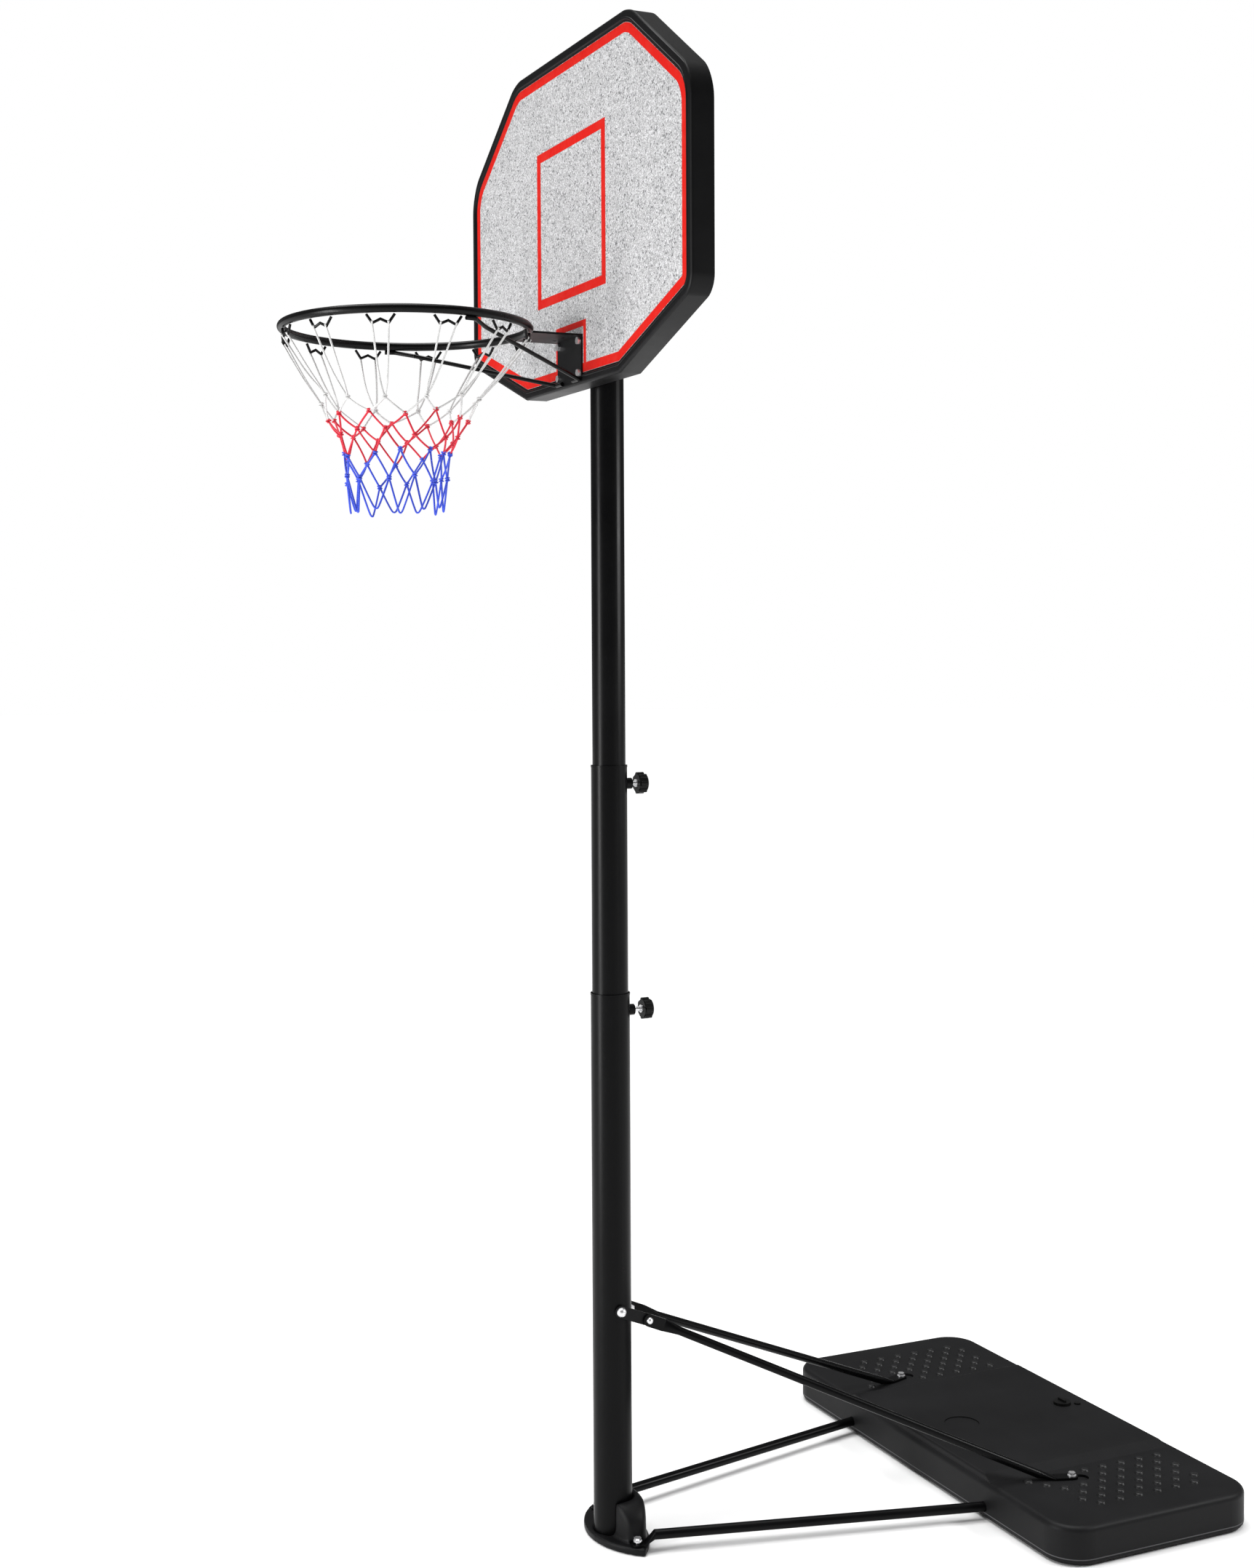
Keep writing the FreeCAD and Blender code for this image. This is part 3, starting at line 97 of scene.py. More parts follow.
class Graph:
    """A material's node tree, with short ways to add its nodes and join them."""

    # The Mix node repeats its socket names for each kind of data, so its colours go by number.
    FACTOR, FIRST_COLOUR, SECOND_COLOUR, MIXED_COLOUR = 0, 6, 7, 2

    def __init__(
        self, name: str, colour: Colour, roughness: float, metallic: float = 0.0, specular: float = 0.5
    ) -> None:
        """Start a material with one principled shader.

        Args:
            name: The material's name.
            colour: Base colour, linear.
            roughness: Base roughness.
            metallic: 1 for bare metal, 0 for paint and plastic.
            specular: Strength of the plain reflection; 0.5 is the shader's own.
        """
        self.material = bpy.data.materials.new(name)
        self.material.use_nodes = True
        self.tree = self.material.node_tree
        self.shader = self.tree.nodes["Principled BSDF"]
        self.shader.inputs["Base Color"].default_value = (*colour, 1.0)
        self.shader.inputs["Roughness"].default_value = roughness
        self.shader.inputs["Metallic"].default_value = metallic
        self.shader.inputs["Specular IOR Level"].default_value = specular
        self.material.diffuse_color = (*colour, 1.0)
        self._place = None

    def add(self, kind: str, **settings: object) -> bpy.types.Node:
        """Add one node and set its own properties.

        Args:
            kind: The node type's identifier.
            settings: Properties of the node by name.

        Returns:
            The new node.
        """
        node = self.tree.nodes.new(kind)
        for key, value in settings.items():
            setattr(node, key, value)
        return node

    def join(self, source: Socket, target: Socket) -> None:
        """Link two sockets."""
        self.tree.links.new(source, target)

    def feed(self, value: object, target: Socket) -> None:
        """Give a socket either a link or a plain value.

        Args:
            value: A socket, a number or a colour.
            target: The socket that takes it.
        """
        if isinstance(value, Socket):
            self.join(value, target)
        elif isinstance(value, tuple) and len(value) == 3 and target.type == "RGBA":
            target.default_value = (*value, 1.0)
        else:
            target.default_value = value

    def place(self) -> Socket:
        """The surface point in the object's own coordinates."""
        if self._place is None:
            self._place = self.add("ShaderNodeTexCoord").outputs["Object"]
        return self._place

    def stretched(self, scale: Point) -> Socket:
        """The surface point, scaled along each axis.

        Args:
            scale: Factors along X, Y and Z.

        Returns:
            The scaled point's socket.
        """
        node = self.add("ShaderNodeMapping")
        node.inputs["Scale"].default_value = scale
        self.join(self.place(), node.inputs["Vector"])
        return node.outputs["Vector"]

    def noise(
        self, scale: float, detail: float = 2.0, rough: float = 0.5, at: Socket | None = None
    ) -> Socket:
        """Smooth noise.

        Args:
            scale: Waves per metre.
            detail: Octaves.
            rough: Weight of the finer octaves.
            at: The point to read, or None for the surface point.

        Returns:
            The noise value's socket, from 0 to 1.
        """
        node = self.add("ShaderNodeTexNoise")
        node.inputs["Scale"].default_value = scale
        node.inputs["Detail"].default_value = detail
        node.inputs["Roughness"].default_value = rough
        self.join(at or self.place(), node.inputs["Vector"])
        return node.outputs["Fac"]

    def cells(self, scale: float, output: str = "Color") -> Socket:
        """Voronoi cells.

        Args:
            scale: Cells per metre.
            output: Which of the node's outputs to give.

        Returns:
            The chosen output's socket.
        """
        node = self.add("ShaderNodeTexVoronoi")
        node.inputs["Scale"].default_value = scale
        self.join(self.place(), node.inputs["Vector"])
        return node.outputs[output]

    def channel(self, colour: Socket, index: int) -> Socket:
        """One channel of a colour.

        Args:
            colour: The colour's socket.
            index: 0, 1 or 2.

        Returns:
            The channel's socket.
        """
        node = self.add("ShaderNodeSeparateColor")
        self.join(colour, node.inputs["Color"])
        return node.outputs[index]

    def levels(self, value: Socket, low: float, high: float, start: float = 0.0, end: float = 1.0) -> Socket:
        """Map a range of values to another, clamped.

        Args:
            value: The value's socket.
            low: The input that gives start.
            high: The input that gives end.
            start: Output at low.
            end: Output at high.

        Returns:
            The mapped value's socket.
        """
        node = self.add("ShaderNodeMapRange")
        for key, number in (("From Min", low), ("From Max", high), ("To Min", start), ("To Max", end)):
            node.inputs[key].default_value = number
        self.join(value, node.inputs["Value"])
        return node.outputs["Result"]

    def math(self, operation: str, first: object, second: object = 0.0) -> Socket:
        """One arithmetic step.

        Args:
            operation: The Math node's operation.
            first: A socket or a number.
            second: A socket or a number.

        Returns:
            The result's socket.
        """
        node = self.add("ShaderNodeMath", operation=operation)
        self.feed(first, node.inputs[0])
        self.feed(second, node.inputs[1])
        return node.outputs["Value"]

    def blend(self, factor: object, first: object, second: object) -> Socket:
        """Mix two colours.

        Args:
            factor: 0 gives the first colour, 1 the second.
            first: A socket or a colour.
            second: A socket or a colour.

        Returns:
            The mixed colour's socket.
        """
        node = self.add("ShaderNodeMix", data_type="RGBA")
        self.feed(factor, node.inputs[self.FACTOR])
        self.feed(first, node.inputs[self.FIRST_COLOUR])
        self.feed(second, node.inputs[self.SECOND_COLOUR])
        return node.outputs[self.MIXED_COLOUR]

    def colour(self, value: Socket) -> None:
        """Drive the base colour."""
        self.join(value, self.shader.inputs["Base Color"])

    def roughness(self, value: Socket) -> None:
        """Drive the roughness."""
        self.join(value, self.shader.inputs["Roughness"])

    def bump(self, *layers: tuple[Socket, float, float]) -> None:
        """Stack bumps on the shader's normal.

        Args:
            layers: (height, strength, distance in metres) of each bump, coarsest first.
        """
        normal = None
        for height, strength, distance in layers:
            node = self.add("ShaderNodeBump")
            node.inputs["Strength"].default_value = strength
            node.inputs["Distance"].default_value = distance
            self.join(height, node.inputs["Height"])
            if normal is not None:
                self.join(normal, node.inputs["Normal"])
            normal = node.outputs["Normal"]
        self.join(normal, self.shader.inputs["Normal"])


@dataclass(frozen=True)
class Finish:
    """A surface finish: its material's name and the record's slot that it stands for."""

    name: str
    slot: Slot

    def material(self) -> bpy.types.Material:
        """Build the finish's material."""
        raise NotImplementedError


@dataclass(frozen=True)
class PowderCoat(Finish):
    """Baked paint on steel: fine orange peel, patchy gloss, a little dust and a few rubbed spots."""

    colour: Colour = (0.0018, 0.0018, 0.0020)
    rubbed: Colour = (0.011, 0.011, 0.012)
    roughness: float = 0.31
    specular: float = 0.10
    peel: float = 0.10
    peel_scale: float = 650.0
    patch_scale: float = 9.0
    patch_tint: float = 1.5
    dust_scale: float = 2600.0
    dust_weight: float = 0.25
    wear_scale: float = 140.0
    wear_stretch: Point = (1.0, 1.0, 0.18)

    def material(self) -> bpy.types.Material:
        """Build the paint's material.

        Returns:
            The material.
        """
        graph = Graph(self.name, self.colour, self.roughness, specular=self.specular)
        patches = graph.noise(self.patch_scale, 4.0, 0.6)
        dust = graph.levels(graph.noise(self.dust_scale, 2.0), 0.60, 0.78)
        streaks = graph.noise(self.wear_scale, 5.0, 0.7, graph.stretched(self.wear_stretch))
        wear = graph.levels(streaks, 0.63, 0.80, 0.0, 0.5)
        lighter = tuple(c * self.patch_tint for c in self.colour)
        base = graph.blend(graph.levels(patches, 0.35, 0.7), self.colour, lighter)
        worn = graph.blend(wear, base, self.rubbed)
        graph.colour(graph.blend(graph.math("MULTIPLY", dust, self.dust_weight), worn, self.rubbed))
        spread = graph.levels(patches, 0.3, 0.75, self.roughness - 0.04, self.roughness + 0.07)
        graph.roughness(graph.math("ADD", spread, graph.math("MULTIPLY", wear, 0.12)))
        graph.bump((graph.noise(self.peel_scale, 2.0), self.peel, 0.0004))
        return graph.material


@dataclass(frozen=True)
class MouldedPlastic(Finish):
    """Moulded polyethylene or polypropylene: a fine spark-eroded grain, scuffs and slight sink marks."""

    colour: Colour = (0.0062, 0.0062, 0.0066)
    scuffed: Colour = (0.028, 0.028, 0.029)
    roughness: float = 0.46
    specular: float = 0.12
    grain: float = 0.35
    grain_scale: float = 900.0
    scuffs: float = 0.6
    seam_height: float | None = None
    seam_width: float = 0.0016
    seam_tint: float = 3.2
    wave_scale: float = 14.0
    cloud_scale: float = 5.5
    cloud_tint: float = 1.45
    scratch_scale: float = 55.0
    scratch_stretch: Point = (0.35, 2.4, 1.0)
    speck_scale: float = 1500.0

    def material(self) -> bpy.types.Material:
        """Build the plastic's material.

        Returns:
            The material.
        """
        graph = Graph(self.name, self.colour, self.roughness, specular=self.specular)
        grain = graph.noise(self.grain_scale, 3.0, 0.65)
        waves = graph.noise(self.wave_scale, 2.0, 0.4)
        cloud = graph.noise(self.cloud_scale, 4.0, 0.6)
        lines = graph.noise(self.scratch_scale, 6.0, 0.75, graph.stretched(self.scratch_stretch))
        scratch = graph.levels(lines, 0.62, 0.80)
        speck = graph.levels(graph.noise(self.speck_scale, 2.0), 0.66, 0.80)
        lighter = tuple(c * self.cloud_tint for c in self.colour)
        base = graph.blend(graph.levels(cloud, 0.3, 0.75), self.colour, lighter)
        marked = graph.blend(graph.math("MULTIPLY", scratch, 0.30 * self.scuffs), base, self.scuffed)
        tint = graph.blend(graph.math("MULTIPLY", speck, 0.35 * self.scuffs), marked, self.scuffed)
        spread = graph.levels(cloud, 0.3, 0.8, self.roughness - 0.05, self.roughness + 0.08)
        graph.roughness(graph.math("ADD", spread, graph.math("MULTIPLY", grain, 0.08)))
        layers = [(waves, 0.25, 0.0015), (grain, self.grain, 0.0004)]
        if self.seam_height is not None:
            line = self._seam(graph)
            tint = graph.blend(line, tint, tuple(c * self.seam_tint for c in self.scuffed))
            layers.insert(1, (line, 0.7, 0.0012))
        graph.colour(tint)
        graph.bump(*layers)
        return graph.material

    def _seam(self, graph: Graph) -> Socket:
        """The parting line that the two halves of the mould leave.

        Args:
            graph: The material's nodes.

        Returns:
            A socket that is 1 along the line and 0 elsewhere.
        """
        split = graph.add("ShaderNodeSeparateXYZ")
        graph.join(graph.place(), split.inputs["Vector"])
        away = graph.math("ABSOLUTE", graph.math("SUBTRACT", split.outputs["Z"], self.seam_height))
        return graph.levels(away, self.seam_width * 0.35, self.seam_width, 1.0, 0.0)


@dataclass(frozen=True)
class PlatedSteel(Finish):
    """Bright plated or bare metal, with fine machining marks and dull spots."""

    colour: Colour = (0.90, 0.90, 0.91)
    dull: Colour = (0.60, 0.60, 0.61)
    roughness: float = 0.36
    spot_scale: float = 420.0
    line_scale: float = 2200.0
    line_stretch: Point = (1.0, 1.0, 6.0)

    def material(self) -> bpy.types.Material:
        """Build the metal's material.

        Returns:
            The material.
        """
        graph = Graph(self.name, self.colour, self.roughness, metallic=1.0)
        spots = graph.noise(self.spot_scale, 4.0, 0.65)
        lines = graph.noise(self.line_scale, 2.0, 0.5, graph.stretched(self.line_stretch))
        graph.colour(graph.blend(graph.levels(spots, 0.5, 0.75), self.colour, self.dull))
        graph.roughness(graph.levels(spots, 0.35, 0.75, self.roughness - 0.06, self.roughness + 0.16))
        graph.bump((lines, 0.12, 0.0002))
        return graph.material


@dataclass(frozen=True)
class GraniteSheet(Finish):
    """Pale moulded sheet with a printed granite fleck in white, grey and near black."""

    colour: Colour = (0.40, 0.40, 0.405)
    pale: Colour = (0.67, 0.67, 0.68)
    grey: Colour = (0.21, 0.21, 0.215)
    dark: Colour = (0.09, 0.09, 0.095)
    roughness: float = 0.42
    specular: float = 0.35
    fleck_scale: float = 620.0
    chip_share: float = 0.52
    cloud_scale: float = 26.0
    gloss_scale: float = 60.0
    grain_scale: float = 520.0

    def material(self) -> bpy.types.Material:
        """Build the sheet's material.

        Returns:
            The material.
        """
        graph = Graph(self.name, self.colour, self.roughness, specular=self.specular)
        fine = graph.cells(self.fleck_scale)
        coarse = graph.cells(self.fleck_scale * self.chip_share)
        # Each kind of fleck: its cells, their channel, where it starts and is full, its weight and colour.
        flecks = (
            (fine, 0, 0.58, 0.66, 0.85, self.pale),
            (fine, 1, 0.62, 0.70, 0.80, self.grey),
            (coarse, 2, 0.86, 0.90, 0.75, self.pale),
            (coarse, 0, 0.90, 0.93, 0.85, self.dark),
        )
        cloud = graph.levels(graph.noise(self.cloud_scale, 4.0), 0.3, 0.7, 0.0, 0.25)
        tone = graph.blend(cloud, self.colour, self.pale)
        for cells, index, low, high, weight, colour in flecks:
            share = graph.levels(graph.channel(cells, index), low, high)
            tone = graph.blend(graph.math("MULTIPLY", share, weight), tone, colour)
        graph.colour(tone)
        graph.roughness(graph.levels(graph.noise(self.gloss_scale, 3.0), 0.3, 0.7, 0.36, 0.50))
        graph.bump((graph.noise(self.grain_scale, 3.0, 0.6), 0.25, 0.0005))
        return graph.material


@dataclass(frozen=True)
class ScreenInk(Finish):
    """Thick screen-printed ink: even colour with pinholes and thin patches."""

    colour: Colour = (0.56, 0.010, 0.006)
    thin: Colour = (0.56, 0.024, 0.016)
    pinhole: Colour = (0.60, 0.16, 0.13)
    roughness: float = 0.42
    specular: float = 0.14
    patch_scale: float = 45.0
    pinhole_scale: float = 1100.0
    gloss_scale: float = 80.0
    grain_scale: float = 520.0

    def material(self) -> bpy.types.Material:
        """Build the ink's material.

        Returns:
            The material.
        """
        graph = Graph(self.name, self.colour, self.roughness, specular=self.specular)
        patch = graph.levels(graph.noise(self.patch_scale, 4.0, 0.6), 0.45, 0.8)
        pinholes = graph.levels(graph.noise(self.pinhole_scale, 2.0), 0.72, 0.82, 0.0, 0.35)
        base = graph.blend(patch, self.colour, self.thin)
        graph.colour(graph.blend(pinholes, base, self.pinhole))
        graph.roughness(graph.levels(graph.noise(self.gloss_scale, 3.0), 0.3, 0.7, 0.34, 0.50))
        graph.bump((graph.noise(self.grain_scale, 3.0, 0.6), 0.22, 0.0005))
        return graph.material


@dataclass(frozen=True)
class DyedCord(Finish):
    """Braided polyester cord: soft fibres, an uneven dye and a rough surface."""

    dye: CordColour = CordColour.WHITE
    roughness: float = 0.78
    specular: float = 0.25
    sheen: float = 0.25
    shade: float = 0.86
    strand_scale: float = 1400.0
    dye_scale: float = 70.0
    weave_scale: float = 900.0

    def material(self) -> bpy.types.Material:
        """Build the cord's material.

        Returns:
            The material.
        """
        graph = Graph(self.name, self.dye.value, self.roughness, specular=self.specular)
        graph.shader.inputs["Sheen Weight"].default_value = self.sheen
        strands = graph.noise(self.strand_scale, 3.0, 0.6)
        uneven = graph.noise(self.dye_scale, 3.0, 0.6)
        shade = tuple(c * self.shade for c in self.dye.value)
        tone = graph.blend(graph.levels(uneven, 0.4, 0.8, 0.0, 0.7), self.dye.value, shade)
        graph.colour(graph.blend(graph.levels(strands, 0.55, 0.7, 0.0, 0.5), tone, shade))
        graph.roughness(graph.levels(strands, 0.3, 0.7, 0.68, 0.9))
        graph.bump((graph.cells(self.weave_scale, "Distance"), 0.3, 0.0004), (strands, 0.3, 0.0003))
        return graph.material


POLE_PAINT = PowderCoat("pole_paint", Slot.POLE)
BRACKET_PAINT = PowderCoat("bracket_paint", Slot.BRACKET, (0.007, 0.007, 0.0074), (0.028, 0.028, 0.028), 0.42)
RIM_PAINT = PowderCoat("rim_paint", Slot.RIM, (0.0022, 0.0022, 0.0023), roughness=0.30, specular=0.14)
ZINC = PlatedSteel("zinc_plate", Slot.ZINC)
BRASS = PlatedSteel("brass", Slot.BRASS, (0.70, 0.50, 0.22), (0.42, 0.29, 0.13), 0.30)
TANK_PLASTIC = MouldedPlastic("tank_plastic", Slot.TANK, seam_height=0.0135)
TREAD_PLASTIC = MouldedPlastic("tread_plastic", Slot.TANK, roughness=0.36, specular=0.32)
FOOT_PLASTIC = MouldedPlastic(
    "foot_plastic", Slot.FOOT, (0.0042, 0.0042, 0.0045), roughness=0.40, scuffs=0.35
)
FRAME_PLASTIC = MouldedPlastic(
    "frame_plastic", Slot.FRAME, (0.0045, 0.0045, 0.0048), roughness=0.38, scuffs=0.4
)
KNOB_PLASTIC = MouldedPlastic("knob_plastic", Slot.KNOB, (0.0045, 0.0045, 0.0045), roughness=0.34, grain=0.2)
CAP_PLASTIC = MouldedPlastic("cap_plastic", Slot.CAP, (0.0040, 0.0040, 0.0040), roughness=0.40, grain=0.25)
PANEL_SHEET = GraniteSheet("granite_panel", Slot.PANEL)
RED_INK = ScreenInk("red_ink", Slot.PANEL)
CORDS = {dye: DyedCord(f"{dye.name.lower()}_cord", Slot.NET, dye) for dye in CordColour}

NODE_FINISHES: dict[Finish, tuple[str, ...]] = {
    POLE_PAINT: (
        "lower_tube", "mid_tube", "top_tube", "lower_strut_left", "lower_strut_right",
        "upper_strut_left", "upper_strut_right", "lower_clamp_nut", "upper_clamp_nut",
    ),
    BRACKET_PAINT: (
        "strut_link_left", "strut_link_right", "upper_board_rail", "lower_board_rail",
        "upper_pole_bracket", "lower_pole_bracket", "rim_plate",
    ),
    RIM_PAINT: ("rim_ring", "rim_hooks", "rim_brace_left", "rim_brace_right"),
    ZINC: (
        "cross_bolt", "cross_bolt_nut", "link_bolts", "link_nuts", "deck_bolts", "foot_bolts", "foot_nuts",
        "rim_bolts", "rim_nuts", "rail_bolts", "rail_nuts", "bracket_bolts", "bracket_nuts",
        "lower_clamp_screw", "upper_clamp_screw",
    ),
    BRASS: ("deck_inserts",),
    TANK_PLASTIC: ("base_tank",),
    FOOT_PLASTIC: ("pole_foot",),
    FRAME_PLASTIC: ("board_frame",),
    PANEL_SHEET: ("board_panel",),
    KNOB_PLASTIC: ("lower_clamp_knob", "upper_clamp_knob"),
    CAP_PLASTIC: ("pole_cap", "fill_cap", "vent_plug"),
    CORDS[CordColour.WHITE]: ("net",),
}


class Wardrobe:
    """Builds each finish once and puts it on nodes and new pieces."""

    def __init__(self) -> None:
        """Start with no materials made."""
        self._made: dict[Finish, bpy.types.Material] = {}

    def material(self, finish: Finish) -> bpy.types.Material:
        """The finish's material, made when first asked for.

        Args:
            finish: The finish.

        Returns:
            Its material.
        """
        if finish not in self._made:
            self._made[finish] = finish.material()
        return self._made[finish]

    def wear(self, obj: bpy.types.Object, finish: Finish) -> None:
        """Put a finish in every material slot of an object.

        Args:
            obj: A CAD node or a new piece.
            finish: The finish that it gets.
        """
        if not obj.material_slots:
            obj.data.materials.append(self.material(finish))
        for place in obj.material_slots:
            place.material = self.material(finish)

    def dress_nodes(self) -> int:
        """Give every CAD node its finish.

        Returns:
            How many nodes were dressed.
        """
        count = 0
        for finish, names in NODE_FINISHES.items():
            for name in names:
                self.wear(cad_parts[name], finish)
                count += 1
        return count


@dataclass
class Assembly:
    """A group of new pieces that share a wardrobe."""

    wardrobe: Wardrobe

    def piece(
        self, name: str, shape: Shape, finish: Finish, body: Body, replaces: tuple[str, ...] = (),
        sharp: float = 32.0,
    ) -> bpy.types.Object:
        """Make an object of a finished shape, dress it and fix it to its body.

        Args:
            name: The piece's name.
            shape: The mesh, in place; it is freed.
            finish: The finish that it gets.
            body: The body that it rides on.
            replaces: CAD nodes that it stands for.
            sharp: Edges that turn more than this many degrees stay sharp.

        Returns:
            The new object.
        """
        mesh = mesh_of(name, shape)
        mesh.shade_smooth()
        mesh.set_sharp_from_angle(angle=math.radians(sharp))
        obj = add_object(name, mesh)
        self.wardrobe.wear(obj, finish)
        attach(obj, body.value)
        if replaces:
            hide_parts(*replaces)
        LOG.info("%s: %d faces", name, len(mesh.polygons))
        return obj


def mesh_of(name: str, shape: Shape) -> bpy.types.Mesh:
    """Turn a shape into a mesh and free the shape.

    Args:
        name: The mesh's name.
        shape: The shape, in place.

    Returns:
        The mesh.
    """
    mesh = bpy.data.meshes.new(name)
    shape.to_mesh(mesh)
    shape.free()
    return mesh


def add_object(name: str, data: bpy.types.ID) -> bpy.types.Object:
    """Put an object in the scene, at the origin.

    Args:
        name: The object's name.
        data: Its mesh, lamp or camera.

    Returns:
        The object.
    """
    obj = bpy.data.objects.new(name, data)
    bpy.context.scene.collection.objects.link(obj)
    return obj


def widest(shape: Shape) -> bmesh.types.BMFace:
    """The largest face of a shape."""
    return max(shape.faces, key=lambda item: item.calc_area())


def step_in(shape: Shape, faces: list[bmesh.types.BMFace], inward: float, forward: float = 0.0) -> None:
    """Inset flat faces by an even width and push them along their normal."""
    bmesh.ops.inset_region(
        shape, faces=faces, thickness=inward, depth=forward, use_even_offset=True, use_boundary=True
    )


def face_out(shape: Shape) -> None:
    """Merge doubles and turn every face outwards.

    Args:
        shape: The mesh to clean.
    """
    bmesh.ops.remove_doubles(shape, verts=shape.verts, dist=1e-6)
    bmesh.ops.recalc_face_normals(shape, faces=shape.faces)


# ---- backboard ----


@dataclass
class Backboard(Assembly):
    """The moulded frame with its beaded lip, and the lines printed on the panel."""

    bottom_half: float = 0.227
    top_half: float = 0.277
    side_low: float = 2.405
    side_high: float = 2.781
    side_radius: float = 0.040
    shoulder_radius: float = 0.090
    wall: float = 0.0061
    panel_back_from_lip: float = 0.003
    border_gap: float = 0.0225
    border_width: float = 0.0175
    square_half: float = 0.166
    square_low: float = 2.473
    square_high: float = 2.783
    line_width: float = 0.018
    plate_box_half: float = 0.073
    plate_box_top: float = 2.421
    plate_line: float = 0.012
    ink: float = 0.0003
    back_land: float = 0.0015
    draft: float = 0.0002

    # Steps of (inward, forward) that shape the lip from its outer edge to the panel.
    LIP_STEPS = (
        (0.0006, 0.0030), (0.0019, 0.0015), (0.0025, 0.0005), (0.0080, 0.0000), (0.0010, 0.0012),
        (0.0025, 0.0000), (0.0010, -0.0012), (0.0010, -0.0022), (0.0025, 0.0000), (0.0010, -0.0008),
    )
    EDGE_DEPTH = 0.005
    SAME_SPOT = 1e-4

    def outline(self, y: float) -> Shape:
        """The board's outline as one face that looks along -Y, its corners rounded.

        Args:
            y: Where the face stands.

        Returns:
            A new mesh of that one face.
        """
        low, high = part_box("board_frame")
        right = [
            (self.bottom_half, low.z),
            (high.x, self.side_low),
            (high.x, self.side_high),
            (self.top_half, high.z),
        ]
        corners = right + [(-x, z) for x, z in reversed(right)]
        shape = bmesh.new()
        shape.faces.new([shape.verts.new((x, y, z)) for x, z in corners])
        radii = (self.side_radius, self.shoulder_radius, self.shoulder_radius)
        for index, radius in enumerate(radii, start=1):
            self._round(shape, corners, index, radius)
        return shape

    def _round(self, shape: Shape, corners: list[tuple[float, float]], index: int, radius: float) -> None:
        """Round one corner of the outline and its mirror image.

        Args:
            shape: The outline.
            corners: Its sharp corners, in order.
            index: Which corner is rounded.
            radius: The corner's radius.
        """
        before, here, after = (Vector(corner) for corner in corners[index - 1:index + 2])
        turn = (here - before).angle(after - here)
        near = self.SAME_SPOT
        chosen = [v for v in shape.verts if abs(abs(v.co.x) - here.x) < near and abs(v.co.z - here.y) < near]
        bmesh.ops.bevel(
            shape, geom=chosen, offset=radius * math.tan(turn / 2), offset_type="OFFSET", affect="VERTICES",
            segments=8, profile=0.5, material=-1,
        )

    def frame(self) -> bpy.types.Object:
        """The frame: rounded outer wall, beaded lip, groove, and a wall behind the panel.

        Returns:
            The frame, which stands for the CAD frame.
        """
        low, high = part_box("board_frame")
        shape = self.outline(low.y + self.EDGE_DEPTH)
        rim = list(shape.edges)
        for inward, forward in self.LIP_STEPS:
            step_in(shape, [widest(shape)], inward, forward)
        face = widest(shape)
        inner_front = list(face.edges)
        bmesh.ops.delete(shape, geom=[face], context="FACES_ONLY")

        pulled = bmesh.ops.extrude_edge_only(shape, edges=rim)["geom"]
        moved = [item for item in pulled if isinstance(item, bmesh.types.BMVert)]
        for vert in moved:
            vert.co.y = high.y
        back_edges = [item for item in pulled if isinstance(item, bmesh.types.BMEdge)]
        back = bmesh.ops.contextual_create(shape, geom=back_edges)["faces"]
        back[0].normal_update()
        if back[0].normal.y < 0:
            bmesh.ops.reverse_faces(shape, faces=back)
        depth = high.y - low.y - self.panel_back_from_lip
        step_in(shape, back, self.back_land)
        step_in(shape, back, self.wall - (self.back_land + self.draft))
        step_in(shape, back, self.draft, -depth)
        inner_back = list(back[0].edges)
        bmesh.ops.delete(shape, geom=back, context="FACES_ONLY")
        bmesh.ops.bridge_loops(shape, edges=inner_front + inner_back)
        face_out(shape)
        return self.piece("backboard_frame", shape, FRAME_PLASTIC, Body.TOP, ("board_frame",), sharp=40.0)

    def border_line(self) -> Shape:
        """The printed line that follows the lip.

        Returns:
            A thin closed ring.
        """
        shape = self.outline(self._print_plane())
        for inward in (self.border_gap, self.border_width):
            face = widest(shape)
            outer = [item for item in shape.faces if item != face]
            bmesh.ops.delete(shape, geom=outer, context="FACES")
            step_in(shape, [face], inward)
        bmesh.ops.delete(shape, geom=[widest(shape)], context="FACES")
        return self._thicken(shape)

    def box_line(self, half: float, low: float, high: float, width: float, floor: float) -> Shape:
        """A printed rectangular line, cut off below a height.

        Args:
            half: Half of the rectangle's width.
            low: Its lower edge.
            high: Its upper edge.
            width: The line's width.
            floor: The height that it is cut off at.

        Returns:
            A thin closed shape.
        """
        y = self._print_plane()
        shape = bmesh.new()
        face = shape.faces.new([shape.verts.new(p) for p in (
            (-half, y, low), (half, y, low), (half, y, high), (-half, y, high))])
        face.normal_update()
        step_in(shape, [face], width)
        bmesh.ops.delete(shape, geom=[face], context="FACES")
        everything = [*shape.verts, *shape.edges, *shape.faces]
        bmesh.ops.bisect_plane(
            shape, geom=everything, plane_co=(0, y, floor), plane_no=(0, 0, 1), clear_inner=True
        )
        return self._thicken(shape)

    def _print_plane(self) -> float:
        """The y of the ink's outer face."""
        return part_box("board_panel")[0].y - self.ink

    def _thicken(self, shape: Shape) -> Shape:
        """Give flat ink its thickness, back to the panel.

        Args:
            shape: Flat faces that look along -Y.

        Returns:
            The same mesh, closed.
        """
        pulled = bmesh.ops.extrude_face_region(shape, geom=list(shape.faces), use_keep_orig=True)["geom"]
        verts = [item for item in pulled if isinstance(item, bmesh.types.BMVert)]
        bmesh.ops.translate(shape, verts=verts, vec=(0, self.ink, 0))
        face_out(shape)
        return shape

